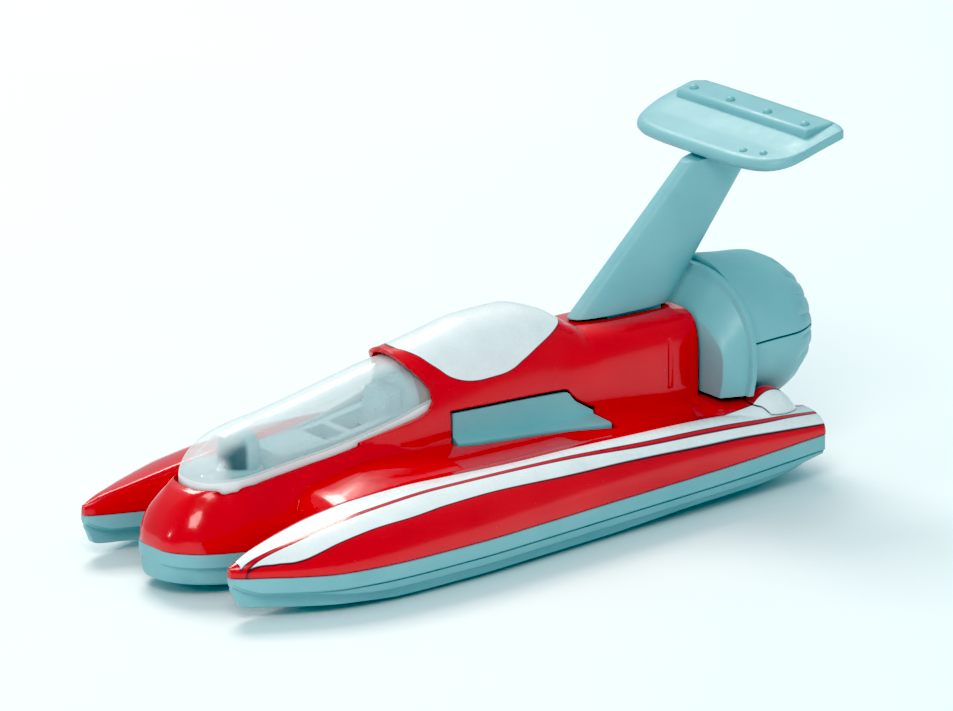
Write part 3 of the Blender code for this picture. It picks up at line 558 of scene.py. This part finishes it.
def cockpit_tray(look):
    tray = tub("cockpit_tray", 0.0)
    cut(tray, box("footwell", (-1.9, 1.9), (19.4, 21.8), (10.6, 17)),
        box("seat_room", (-1.9, 1.9), (22.6, 27.2), (11.0, 17)),
        box("pit", (-1.8, 1.8), (6.7, 7.7), (8.9, 12)))
    back = pushed("backrest", [(26.2, 12.0), (27.2, 15.9), (28.9, 16.1), (28.9, 12.0)], "x", -1.9, 1.9)
    wall = [(x, z) for x, z in arch(-BULKHEAD[0], 0, BULKHEAD[0], 13.0, BULKHEAD[1], 2.2, 20)]
    bulkhead = skin("bulkhead", [ring(wall, y) for y in (29.0, 30.0)])
    disc = POD_R + 0.35
    profile = [(9.0, 0), (9.0, disc), (10.8, disc), (10.95, disc - 0.1), (11.0, POD_R)]
    profile += [(12.9 + (POD_TOP - 12.9) * math.sin(t), 0.3 + (POD_R - 0.3) * math.cos(t))
                for t in spread(0, math.pi / 2, 10)]
    pod = turned("pod", profile + [(POD_TOP, 0)], (0, POD_Y, 0), (0, 0, 1), 64)
    join(tray, back, bulkhead, pod)
    return piece(tray, "cockpit_tray", look, nodes=["cockpit"])


def vent_room():
    """Room that the casting leaves for a vent."""
    sections = []
    for y in [VENT_FRONT - GAP] + spread(33.4, 50.2, 30) + [VENT_END + GAP]:
        top, out = at(VENT_TOP, y) + GAP, at(VENT_OUT, y) + GAP * 2
        low, inner = at(VENT_LOW, y) - GAP, VENT_INNER - GAP
        sections.append(ring([(inner, low), (out, low), (out, low + 1.4 + GAP), (out - 0.4, top),
                              (inner, top)], y))
    return skin("vent_room", sections)


def vent(name, side, look, node):
    """Plastic step in the side opening: an upright wall over a ledge."""
    sections = []
    for y in spread(VENT_FRONT, VENT_END, 60):
        top, out, low = at(VENT_TOP, y), at(VENT_OUT, y), at(VENT_LOW, y)
        half = [(VENT_INNER, low), (out - 0.15, low), (out - 0.04, low + 0.06), (out, low + 0.2),
                (out, low + 1.0), (out - 0.07, low + 1.17), (out - 0.25, low + 1.25),
                (VENT_WALL + 0.25, low + 1.45), (VENT_WALL + 0.07, low + 1.48), (VENT_WALL, low + 1.6),
                (VENT_WALL, top), (VENT_INNER, top)]
        sections.append(ring([(side * x, z) for x, z in half], y))
    return piece(skin(name, sections), name, look, nodes=[node])


# Tail

def tail_fin(look):
    sections = []
    for z in spread(FIN_BASE, FIN_TOP, 24):
        y0 = FIN_FRONT[0] + FIN_FRONT[1] * (z - FIN_BASE)
        y1 = FIN_REAR[0] + FIN_REAR[1] * (z - FIN_BASE)
        thick = FIN_THICK / 2 * (1 - 0.18 * (z - FIN_BASE) / (FIN_TOP - FIN_BASE))
        section = []
        for k in range(96):
            along, across = math.cos(math.pi * k / 48), math.sin(math.pi * k / 48)
            section.append((thick * math.copysign(abs(across) ** 0.75, across),
                            (y0 + y1) / 2 + (y1 - y0) / 2 * math.copysign(abs(along) ** 0.72, along), z))
        sections.append(section)
    fin = skin("fin", sections)
    join(fin, fin_foot("foot", 0.0))
    under = [(y, at(WING_Z, y) - WING_THICK / 2 - GAP) for y in spread(60, 86, 40)]
    cut(fin, pushed("wing_room", under + [(86, 50), (60, 50)], "x", -5, 5))
    return piece(fin, "fin", look, nodes=["tail_fin"])


def wing_plate():
    """Sections across the span, thin and rounded at the front and at the tips."""
    sections = []
    count = 90
    for i in range(count + 1):
        x = WING_HALF * math.sin(math.pi * (i / count - 0.5))
        y0, y1 = at(WING_FRONT, abs(x)), WING_REAR - 0.5 * (abs(x) / WING_HALF) ** 12
        tip = 1 - 0.4 * (abs(x) / WING_HALF) ** 10
        upper, lower = [], []
        lead = [y0 + 0.9 * (1 - math.cos(t)) for t in spread(0, math.pi / 2, 8)]
        for y in lead + spread(max(y0 + 1.6, 70.5), y1 - 0.3, 14) + [y1 - 0.1, y1]:
            nose_part = math.sqrt(max(0.0, 1 - (1 - min(1.0, (y - y0) / 0.9)) ** 2))
            tail_part = 1.0 - 0.15 * max(0.0, (y - y1 + 0.3) / 0.3) ** 2
            half = WING_THICK / 2 * max(0.12, nose_part) * tail_part * tip
            upper.append((x, y, at(WING_Z, y) + half))
            lower.append((x, y, at(WING_Z, y) - half))
        sections.append(upper + list(reversed(lower)))
    return skin("wing_plate", sections)


def flap_top(y):
    """Height of the raised flap's top at a station: a step up in front, level with the plate behind."""
    t = (y - FLAP_FRONT - 0.5) / (WING_REAR - FLAP_FRONT - 0.9)
    return at(WING_Z, y) + WING_THICK / 2 + FLAP_STEP * (1 - t) + 0.12 * t


def flap():
    sections = []
    for x, inset in ((-FLAP_HALF, 0.35), (-FLAP_HALF + 0.12, 0.13), (-FLAP_HALF + 0.4, 0),
                     (FLAP_HALF - 0.4, 0), (FLAP_HALF - 0.12, 0.13), (FLAP_HALF, 0.35)):
        y0, y1 = FLAP_FRONT + inset, WING_REAR - inset - 0.1
        line = [(x, y0, at(WING_Z, y0) + 0.2), (x, y0 + 0.05, flap_top(y0 + 0.5) - 0.4 - inset)]
        line += [(x, y0 + 0.22, flap_top(y0 + 0.5) - 0.13 - inset)]
        for y in spread(y0 + 0.5, y1 - 0.3, 10):
            line.append((x, y, flap_top(y) - inset * (1 - 0.6 * (y - y0) / (y1 - y0))))
        line += [(x, y1, at(WING_Z, y1) + WING_THICK / 2 - 0.1 - inset * 0.4), (x, y1, at(WING_Z, y1) - 0.2)]
        sections.append(line)
    return skin("flap", sections)


def tail_wing(look):
    plate = wing_plate()
    join(plate, flap())
    return piece(plate, "tail_wing", look, nodes=["wing"])


def collar(look):
    """Flared arch between the cover and the engine, ending in a lip."""
    stations = [64.6, 64.75, 65.1, 65.6, 66.1, 66.6, 67.0, 67.2, 67.26, 67.34, 67.45, 67.8, 67.93, 68.0]
    width, height = [(y, w) for y, w, top in COLLAR], [(y, top) for y, w, top in COLLAR]
    sections = []
    for y in stations:
        soft = 0.14 if y in (64.6, 68.0) else 0.04 if y in (64.75, 67.93) else 0.0
        w, top = at(width, y) - soft, at(height, y) - soft
        crown = arch(-w, 0, w, 13.6, top, 2.3, 36)
        half = [(w - 0.55, COLLAR_LOW), (w - 0.1, 12.0)]
        sections.append(ring(half + crown + [(-x, z) for x, z in reversed(half)], y))
    return piece(skin("collar", sections), "collar", look, nodes=["engine_collar"])


def scalloped(bm):
    """Draw the rear rim of the engine in between its blades."""
    for vert in bm.verts:
        across, up = vert.co.x, vert.co.z - ENGINE_Z
        radius = math.hypot(across, up)
        depth = 0.24 * min(1.0, max(0.0, (vert.co.y - 75.6) / 1.2))
        if depth and radius > NOZZLE_R:
            wave = 1 - abs(math.sin(math.atan2(up, across) * 10)) ** 0.6
            vert.co.x *= 1 - depth * wave / radius
            vert.co.z = ENGINE_Z + up * (1 - depth * wave / radius)


def engine_half(name, side, look, node):
    """Half of the moulded engine, above or below its seam, with a round nozzle."""
    stations = [ENGINE_FRONT + 0.12] + spread(68.8, 75.6, 16) + spread(75.9, 78.85, 18)
    profile = [(ENGINE_FRONT, 0), (ENGINE_FRONT, at(ENGINE_RADIUS, ENGINE_FRONT) - 0.12)]
    profile += [(y, at(ENGINE_RADIUS, y)) for y in stations] + [(ENGINE_END, at(ENGINE_RADIUS, 78.95) - 0.2)]
    half = turned(name, profile + [(ENGINE_END, 0)], (0, 0, ENGINE_Z), (0, 1, 0), 360, scalloped)
    seam = SEAM_Z + side * GAP / 3
    other = (seam, seam - side * FAR)
    cut(half, rod("nozzle", (0, NOZZLE_FRONT, ENGINE_Z), (0, 90, ENGINE_Z), NOZZLE_R, 96),
        box("other_half", (-20, 20), (60, 90), (min(other), max(other))))
    return piece(half, name, look, nodes=[node])


def cone(look):
    wide = NOZZLE_R - GAP
    profile = [(72.3, 0), (72.3, wide), (73.1, wide), (73.2, wide - 0.1), (73.6, 2.4), (75.0, 2.2), (76.0, 1.9),
               (76.8, 1.5), (77.5, 0.95), (78.0, 0.5), (78.16, 0.25), (78.2, 0)]
    return piece(turned("cone", profile, (0, 0, ENGINE_Z), (0, 1, 0), 96), "cone", look,
                 nodes=["exhaust_cone"])


# Running gear

def axle(name, y, look, node):
    head, crown = 0.7, 0.12
    inner = AXLE_HALF - 0.2
    profile = [(-AXLE_HALF, 0), (-AXLE_HALF, head - crown), (-AXLE_HALF + crown, head), (-inner, head),
               (-inner, AXLE_R), (inner, AXLE_R), (inner, head), (AXLE_HALF - crown, head),
               (AXLE_HALF, head - crown), (AXLE_HALF, 0)]
    return piece(turned(name, profile, (0, y, AXLE_Z), (1, 0, 0), 40), name, look, nodes=[node])


def wheel(name, side, y, look):
    """Roller with a rounded tread and a dished outer face."""
    half, bore, x = WHEEL_W / 2, AXLE_R + GAP * 0.5, side * WHEEL_X
    rim, dish = WHEEL_R - 0.45, 0.18
    profile = [(-half, bore), (-half, WHEEL_R - 0.25)]
    profile += [(-half + 0.25 - 0.25 * math.cos(t), WHEEL_R - 0.25 + 0.25 * math.sin(t))
                for t in spread(0.2, math.pi / 2, 5)]
    profile += [(half - 0.25 + 0.25 * math.sin(t), WHEEL_R - 0.25 + 0.25 * math.cos(t))
                for t in spread(0, math.pi / 2 - 0.2, 5)]
    profile += [(half, WHEEL_R - 0.25), (half, rim), (half - dish, rim - dish), (half - dish, bore + 0.4),
                (half - dish * 0.4, bore + 0.3), (half - dish * 0.4, bore)]
    if side < 0:
        profile = [(-a, r) for a, r in reversed(profile)]
    return piece(turned(name, profile, (x, y, AXLE_Z), (1, 0, 0), 72), name, look, body=name, nodes=[name])


# Pieces in rows, by Geometry Nodes

class Tree:
    """Builds a node tree a node at a time; a dictionary sets the inputs by name or number."""

    def __init__(self, tree):
        self.tree = tree

    def add(self, kind, inputs=None, **settings):
        node = self.tree.nodes.new(kind)
        for key, value in settings.items():
            setattr(node, key, value)
        for key, value in (inputs or {}).items():
            if isinstance(value, bpy.types.NodeSocket):
                self.tree.links.new(value, node.inputs[key])
            else:
                node.inputs[key].default_value = value
        return node

    def math(self, operation, a, b=0.0, clamp=False):
        return self.add("ShaderNodeMath", {0: a, 1: b}, operation=operation, use_clamp=clamp).outputs[0]


def grown(name, tree, values, look, body="boat"):
    """Mesh that a Geometry Nodes tree makes from the given input values, in metres."""
    obj = bpy.data.objects.new(name, bpy.data.meshes.new(name))
    bpy.context.scene.collection.objects.link(obj)
    mod = obj.modifiers.new("row", "NODES")
    mod.node_group = tree
    for item in tree.interface.items_tree:
        if item.name in values:
            mod[item.identifier] = values[item.name]
    settled(obj)
    obj.data.transform(Matrix.Translation((0, -MID_Y * MM, 0)))
    return piece(obj, name, look, body)


def new_tree(name, inputs):
    """Geometry tree with named inputs; the last nodes are added by close_tree."""
    tree = bpy.data.node_groups.new(name, "GeometryNodeTree")
    tree.interface.new_socket("Geometry", in_out="OUTPUT", socket_type="NodeSocketGeometry")
    for label, kind in inputs:
        tree.interface.new_socket(label, in_out="INPUT", socket_type=f"NodeSocket{kind}")
    build = Tree(tree)
    return build, build.add("NodeGroupInput").outputs


def close_tree(build, geometry, look):
    plain = build.add("GeometryNodeRealizeInstances", {0: geometry})
    dressed = build.add("GeometryNodeSetMaterial", {"Geometry": plain.outputs[0]})
    dressed.inputs["Material"].default_value = look
    out = build.add("NodeGroupOutput")
    build.tree.links.new(dressed.outputs[0], out.inputs[0])
    return build.tree


def rivet_row_tree(look):
    """A line of domed rivet heads."""
    build, given = new_tree("rivet_row", [("Count", "Int"), ("First", "Vector"), ("Step", "Vector"),
                                          ("Radius", "Float"), ("Squash", "Vector")])
    line = build.add("GeometryNodeMeshLine", {"Count": given["Count"], "Start Location": given["First"],
                                              "Offset": given["Step"]})
    head = build.add("GeometryNodeMeshUVSphere", {"Segments": 28, "Rings": 14, "Radius": given["Radius"]})
    heads = build.add("GeometryNodeInstanceOnPoints", {"Points": line.outputs[0], "Instance": head.outputs[0],
                                                       "Scale": given["Squash"]})
    return close_tree(build, heads.outputs[0], look)


def vane_ring_tree(look):
    """Flat vanes set evenly round the nozzle's axis."""
    build, given = new_tree("vane_ring", [("Count", "Int"), ("Centre", "Vector"), ("Radius", "Float"),
                                          ("Size", "Vector"), ("Twist", "Float")])
    circle = build.add("GeometryNodeMeshCircle", {"Vertices": given["Count"], "Radius": given["Radius"]})
    vane = build.add("GeometryNodeMeshCube", {"Size": given["Size"]})
    index = build.add("GeometryNodeInputIndex")
    turn = build.math("DIVIDE", index.outputs[0], given["Count"])
    angle = build.math("MULTIPLY", turn, 2 * math.pi)
    spin = build.add("ShaderNodeCombineXYZ", {"X": given["Twist"], "Z": angle})
    vanes = build.add("GeometryNodeInstanceOnPoints", {"Points": circle.outputs[0], "Instance": vane.outputs[0],
                                                       "Rotation": spin.outputs[0]})
    placed = build.add("GeometryNodeTransform", {"Geometry": vanes.outputs[0], "Translation": given["Centre"],
                                                 "Rotation": (math.pi / 2, 0, 0)})
    return close_tree(build, placed.outputs[0], look)


def rivets_and_vanes(look):
    row = rivet_row_tree(look)
    z = flap_top(FLAP_RIVETS_Y)
    step = 2 * FLAP_RIVETS_X / 3
    grown("flap_rivets", row, {"Count": 4, "First": Vector((-FLAP_RIVETS_X, FLAP_RIVETS_Y, z)) * MM,
                               "Step": Vector((step, 0, 0)) * MM, "Radius": 0.5 * MM,
                               "Squash": Vector((1, 1, 0.8))}, look)
    (x0, y0), (x1, y1) = PLATE_RIVETS
    z0, z1 = at(WING_Z, y0) + WING_THICK / 2, at(WING_Z, y1) + WING_THICK / 2
    grown("plate_rivets", row, {"Count": 2, "First": Vector((x0, y0, z0)) * MM,
                                "Step": Vector((x1 - x0, y1 - y0, z1 - z0)) * MM, "Radius": 0.42 * MM,
                                "Squash": Vector((1, 1, 0.7))}, look)
    inner, outer = 2.25, NOZZLE_R - GAP
    grown("nozzle_vanes", vane_ring_tree(look),
          {"Count": VANES, "Centre": Vector((0, 73.9, ENGINE_Z)) * MM, "Radius": (inner + outer) / 2 * MM,
           "Size": Vector((outer - inner, 0.28, 1.5)) * MM, "Twist": 0.5}, look)


# Materials

def new_look(name, metallic=0.0, **sockets):
    """Material with a Principled shader whose even values are set here."""
    mat = bpy.data.materials.new(name)
    mat.use_nodes = True
    build = Tree(mat.node_tree)
    shader = mat.node_tree.nodes["Principled BSDF"]
    shader.inputs["Metallic"].default_value = metallic
    for label, value in sockets.items():
        shader.inputs[label.replace("_", " ")].default_value = value
    place = build.add("ShaderNodeTexCoord").outputs["Object"]
    return mat, build, shader, place


def noise(build, place, size, detail=3.0, rough=0.5):
    """Noise whose lumps are about size millimetres across."""
    return build.add("ShaderNodeTexNoise", {"Vector": place, "Scale": 1 / (size * MM), "Detail": detail,
                                            "Roughness": rough}).outputs["Fac"]


def ranged(build, value, low, high, start=0.0, end=1.0, smooth=False):
    return build.add("ShaderNodeMapRange", {"Value": value, "From Min": start, "From Max": end, "To Min": low,
                                            "To Max": high},
                     interpolation_type="SMOOTHSTEP" if smooth else "LINEAR").outputs["Result"]


def blended(build, amount, a, b):
    """Colour a where amount is 0 and colour b where it is 1."""
    node = build.add("ShaderNodeMix", data_type="RGBA")
    for socket, value in ((node.inputs[0], amount), (node.inputs[6], a), (node.inputs[7], b)):
        if isinstance(value, bpy.types.NodeSocket):
            build.tree.links.new(value, socket)
        else:
            socket.default_value = value if isinstance(value, float) else (*value, 1.0)
    return node.outputs[2]


def bumps(build, heights, edge):
    """Normal from (height, strength, depth in mm) layers over edges rounded by edge millimetres."""
    normal = build.add("ShaderNodeBevel", {"Radius": edge * MM}, samples=6).outputs[0]
    for height, strength, depth in heights:
        normal = build.add("ShaderNodeBump", {"Height": height, "Strength": strength, "Distance": depth * MM,
                                              "Normal": normal}).outputs[0]
    return normal


def curve_of(build, table, station, length, top):
    """A (station, value) table as a curve that nodes can read, for stations 0 to length."""
    node = build.add("ShaderNodeFloatCurve", {"Value": build.math("DIVIDE", station, length, clamp=True)})
    curve = node.mapping.curves[0]
    stations = spread(0, length, 36)
    curve.points[0].location = (0, at(table, 0) / top)
    curve.points[1].location = (1, at(table, length) / top)
    for y in stations[1:-1]:
        curve.points.new(y / length, at(table, y) / top)
    node.mapping.update()
    return build.math("MULTIPLY", node.outputs[0], top)


def above(build, value, edge, soft=0.03):
    """1 where value is greater than edge, 0 where it is less, with a soft change."""
    gap = build.math("SUBTRACT", value, edge)
    return ranged(build, gap, 0.0, 1.0, -soft, soft)


def printing(build, place):
    """Masks of the white printing and of its dark outline, in hull stations and millimetres."""
    split = build.add("ShaderNodeSeparateXYZ", {0: place}).outputs
    x = build.math("MULTIPLY", split[0], 1 / MM)
    y = build.math("ADD", build.math("MULTIPLY", split[1], 1 / MM), MID_Y)
    z = build.math("MULTIPLY", split[2], 1 / MM)
    inner, middle, outer = [curve_of(build, table, y, HULL_LENGTH, 20.0)
                            for table in (STRIPE_INNER, STRIPE_MIDDLE, STRIPE_OUTER)]
    foot = curve_of(build, PANEL_FOOT, y, HULL_LENGTH, 25.0)

    def stripes(grow):
        low = above(build, x, build.math("SUBTRACT", inner, grow))
        split_in = above(build, build.math("ADD", x, STRIPE_GAP / 2 - grow), middle)
        split_out = above(build, build.math("SUBTRACT", x, STRIPE_GAP / 2 - grow), middle)
        high = above(build, build.math("SUBTRACT", x, grow), outer)
        first = build.math("MULTIPLY", low, build.math("SUBTRACT", 1.0, split_in))
        second = build.math("MULTIPLY", split_out, build.math("SUBTRACT", 1.0, high))
        both = build.math("MAXIMUM", first, second)
        both = build.math("MULTIPLY", both, above(build, y, STRIPE_START - grow))
        return build.math("MULTIPLY", both, above(build, x, 6.9))

    def panel(grow):
        high = above(build, build.math("ADD", z, grow), foot)
        return build.math("MULTIPLY", high, above(build, 6.5, build.math("ABSOLUTE", x)))

    return [build.math("MAXIMUM", stripes(grow), panel(grow)) for grow in (0.0, OUTLINE)]


def red_paint():
    mat, build, shader, place = new_look("red_body_paint", Roughness=0.2, Coat_Weight=0.6, Coat_Roughness=0.06)
    white, dark = printing(build, place)
    drift = noise(build, place, 9.0, 4.0)
    red = blended(build, ranged(build, drift, 0.0, 1.0, 0.3, 0.7), (0.80, 0.004, 0.004), (0.90, 0.007, 0.006))
    ink = blended(build, ranged(build, noise(build, place, 2.5), 0.0, 1.0, 0.3, 0.7), (0.90, 0.90, 0.91),
                  (0.96, 0.96, 0.96))
    edged = blended(build, dark, red, (0.10, 0.01, 0.012))
    build.tree.links.new(blended(build, white, edged, ink), shader.inputs["Base Color"])
    scuffs = ranged(build, noise(build, place, 0.8, 6.0, 0.7), 0.13, 0.30, 0.35, 0.75)
    rough = build.math("ADD", scuffs, build.math("MULTIPLY", white, 0.08))
    build.tree.links.new(rough, shader.inputs["Roughness"])
    peel = noise(build, place, 0.9, 2.0)
    normal = bumps(build, [(peel, 0.12, 0.03), (white, 0.35, 0.02)], 0.28)
    build.tree.links.new(normal, shader.inputs["Normal"])
    return mat


def plastic(name, pale, deep, edge=0.16, gloss=(0.30, 0.48)):
    """Moulded plastic: slow colour drift, fine grain and soft edges."""
    mat, build, shader, place = new_look(name, Roughness=0.38)
    drift = ranged(build, noise(build, place, 7.0, 5.0), 0.0, 1.0, 0.3, 0.7)
    grain = noise(build, place, 0.22, 3.0, 0.6)
    tone = build.math("ADD", build.math("MULTIPLY", drift, 0.75), build.math("MULTIPLY", grain, 0.25))
    build.tree.links.new(blended(build, tone, deep, pale), shader.inputs["Base Color"])
    rough = ranged(build, noise(build, place, 1.4, 5.0, 0.65), *gloss, 0.3, 0.7)
    build.tree.links.new(rough, shader.inputs["Roughness"])
    normal = bumps(build, [(noise(build, place, 3.0, 2.0), 0.15, 0.08), (grain, 0.12, 0.015)], edge)
    build.tree.links.new(normal, shader.inputs["Normal"])
    return mat


def clear_plastic():
    """Clear wall with painted reflection: opaque white over its front, its crown and where it is seen edge-on, a
    faint white over the rear, and a painted highlight along its rim.
    """
    mat, build, shader, place = new_look("clear_bubble", Roughness=0.05, IOR=1.49)
    split = build.add("ShaderNodeSeparateXYZ", {0: place}).outputs
    y = build.math("ADD", build.math("MULTIPLY", split[1], 1 / MM), MID_Y)
    z = build.math("MULTIPLY", split[2], 1 / MM)
    # painted highlight: white over the lower band of the shell, along its rim
    band = above(build, curve_of(build, BAND_TOP, y, HULL_LENGTH, 25.0), z, 0.05)
    # painted reflection: white over the front of the dome
    front = ranged(build, y, 0.62, 0.0, 5.4, 7.4, smooth=True)
    # painted reflection: white near the crown of the dome
    crown = curve_of(build, CANOPY_TOP, y, HULL_LENGTH, 25.0)
    crown = ranged(build, build.math("SUBTRACT", crown, z), 0.55, 0.0, 0.1, 1.6, smooth=True)
    # painted reflection: a faint white, stronger behind the front of the dome
    faint_reflection = ranged(build, y, 0.04, 0.24, 8.0, 12.0, smooth=True)
    # painted reflection: whiter where the wall is seen edge-on
    facing = build.add("ShaderNodeLayerWeight", {"Blend": 0.5}).outputs["Facing"]
    glancing_reflection = ranged(build, facing, 0.0, 0.85, 0.55, 0.95, smooth=True)
    flow = noise(build, place, 4.0, 3.0)
    # the painted reflection and the painted rim highlight together set how opaque and white the wall is
    painted_reflection = faint_reflection
    for part in (front, crown, glancing_reflection, band):
        painted_reflection = build.math("MAXIMUM", painted_reflection, part)
    painted_reflection = build.math("ADD", painted_reflection, build.math("MULTIPLY", flow, 0.05), clamp=True)
    build.tree.links.new(painted_reflection, shader.inputs["Alpha"])
    # white that shows where the painted reflection makes the wall opaque
    build.tree.links.new(blended(build, flow, (0.94, 0.985, 0.99), (0.97, 0.995, 1.0)),
                         shader.inputs["Base Color"])
    build.tree.links.new(bumps(build, [(flow, 0.08, 0.05)], 0.12), shader.inputs["Normal"])
    return mat


def cockpit_plastic():
    """The tray's plastic, painted lighter than the base's grey to make up for the canopy's shade, with painted
    shade on the front of the pod and darker towards the bottom, in the pit.
    """
    # painted light: both greys are lighter than the base's grey, to make up for the shade the canopy casts on the
    # tray
    mat = plastic("cockpit_grey_painted_light", (0.52, 0.76, 0.79), (0.44, 0.70, 0.74))
    build = Tree(mat.node_tree)
    shader = mat.node_tree.nodes["Principled BSDF"]
    place = build.add("ShaderNodeTexCoord").outputs["Object"]
    tone = shader.inputs["Base Color"].links[0].from_socket
    split = build.add("ShaderNodeSeparateXYZ", {0: place}).outputs
    ahead = build.math("SUBTRACT", POD_Y - MID_Y, build.math("MULTIPLY", split[1], 1 / MM))
    z = build.math("MULTIPLY", split[2], 1 / MM)
    # painted shade: dark over the front of the pod, from just above its foot, fading near its top
    painted_pod_shade = build.math("MULTIPLY", ranged(build, ahead, 0.0, 1.0, 0.1, 0.75, smooth=True),
                       ranged(build, ahead, 1.0, 0.0, POD_R + 0.05, POD_R + 0.3, smooth=True))
    painted_pod_shade = build.math("MULTIPLY", painted_pod_shade, ranged(build, z, 0.0, 1.0, 11.1, 11.4, smooth=True))
    painted_pod_shade = build.math("MULTIPLY", painted_pod_shade, ranged(build, z, 1.0, 0.35, 13.2, 14.6, smooth=True))
    # painted shade: darker towards the bottom, in the pit
    pit = ranged(build, z, 0.85, 0.0, 9.1, 9.7, smooth=True)
    dark = build.math("MAXIMUM", painted_pod_shade, pit)
    # dark colour of the painted shade on the pod and in the pit
    build.tree.links.new(blended(build, dark, tone, (0.001, 0.07, 0.11)), shader.inputs["Base Color"])
    return mat


def steel_wire():
    mat, build, shader, place = new_look("drawn_steel", metallic=1.0, Roughness=0.3)
    stretch = build.add("ShaderNodeMapping", {"Vector": place, "Scale": (0.05, 1, 1)}).outputs[0]
    drawn = noise(build, stretch, 0.08, 4.0)
    build.tree.links.new(blended(build, drawn, (0.50, 0.50, 0.52), (0.72, 0.72, 0.74)), shader.inputs["Base Color"])
    build.tree.links.new(ranged(build, drawn, 0.22, 0.42), shader.inputs["Roughness"])
    build.tree.links.new(bumps(build, [(drawn, 0.3, 0.01)], 0.05), shader.inputs["Normal"])
    return mat


# Light table

def light_table():
    mat, build, shader, place = new_look("table_top", Roughness=0.55)
    mist = noise(build, place, 60.0, 4.0)
    build.tree.links.new(blended(build, mist, (0.90, 0.93, 0.94), (0.95, 0.97, 0.975)), shader.inputs["Base Color"])
    mesh = bpy.data.meshes.new("table_top")
    reach = FLOOR_HALF
    mesh.from_pydata([(-reach, -reach, 0), (reach, -reach, 0), (reach, reach, 0), (-reach, reach, 0)], [],
                     [(0, 1, 2, 3)])
    table = bpy.data.objects.new("table_top", mesh)
    mesh.materials.append(mat)
    bpy.context.scene.collection.objects.link(table)


def lamp(name, place, size, power, colour):
    """Square soft box aimed at the boat; place is to the right, up and towards the camera, in mm."""
    turn = math.radians(CAMERA_TURN)
    right = Vector((math.cos(turn), math.sin(turn), 0))
    towards = Vector((math.sin(turn), -math.cos(turn), 0))
    light = bpy.data.lights.new(name, "AREA")
    light.energy = power
    light.size = size * MM
    light.color = colour
    obj = bpy.data.objects.new(name, light)
    middle = Vector((0, 0, 10)) * MM
    spot = middle + (right * place[0] + Vector((0, 0, 1)) * place[1] + towards * place[2]) * MM
    obj.matrix_world = Matrix.Translation(spot) @ (middle - spot).to_track_quat("-Z", "Y").to_matrix().to_4x4()
    bpy.context.scene.collection.objects.link(obj)


def surroundings():
    """White room with a cool sky, so that shadows turn blue-green, and a print-like contrast."""
    world = bpy.data.worlds.new("white_room")
    world.use_nodes = True
    room = world.node_tree.nodes["Background"]
    room.inputs["Color"].default_value = (0.68, 0.93, 1.0, 1)
    room.inputs["Strength"].default_value = 0.58
    bpy.context.scene.world = world
    view = bpy.context.scene.view_settings
    view.view_transform = "Standard"
    view.use_curve_mapping = True
    view.curve_mapping.black_level = (0.07, 0.04, 0.035)
    view.curve_mapping.update()
    lamp("soft_box_back", (-120, 460, -330), 240, 1.75, (1.0, 0.93, 0.87))
    lamp("soft_box_front", (-60, 420, 420), 240, 1.1, (1.0, 0.94, 0.88))
    lamp("nose_lamp", (-420, 150, 160), 30, 0.08, (1.0, 1.0, 1.0))


def camera():
    """Long lens at the photograph's place, level, turned to the port side of the nose."""
    data = bpy.data.cameras.new("camera")
    data.sensor_width = SENSOR
    data.lens = LENS
    data.clip_start, data.clip_end = 0.01, 20.0
    obj = bpy.data.objects.new("camera", data)
    turn, dip = math.radians(CAMERA_TURN), math.radians(CAMERA_DIP)
    back = Vector((math.sin(turn) * math.cos(dip), -math.cos(turn) * math.cos(dip), math.sin(dip)))
    right = Vector((math.cos(turn), math.sin(turn), 0))
    up = back.cross(right)
    obj.matrix_world = Matrix.Translation(CAMERA_AT) @ Matrix((right, up, back)).transposed().to_4x4()
    bpy.context.scene.collection.objects.link(obj)
    bpy.context.scene.camera = obj


def build():
    camera()
    surroundings()
    light_table()
    red = red_paint()
    grey = plastic("moulded_grey", (0.34, 0.58, 0.62), (0.27, 0.50, 0.54))
    black = plastic("moulded_black", (0.035, 0.04, 0.042), (0.015, 0.018, 0.02))
    clear, steel = clear_plastic(), steel_wire()
    red_body(red)
    grey_base(grey)
    canopy_shell(clear)
    cockpit_tray(cockpit_plastic())
    vent("vent_left", 1, grey, "vent_port")
    vent("vent_right", -1, grey, "vent_starboard")
    tail_fin(grey)
    tail_wing(grey)
    collar(grey)
    engine_half("engine_top", 1, grey, "engine_upper")
    engine_half("engine_bottom", -1, grey, "engine_lower")
    cone(grey)
    rivets_and_vanes(grey)
    for end, y in zip(("front", "rear"), AXLES_Y):
        axle(f"{end}_wire", y, steel, f"{end}_axle")
        for side, word in ((1, "port"), (-1, "starboard")):
            wheel(f"{end}_wheel_{word}", side, y, black)


build()
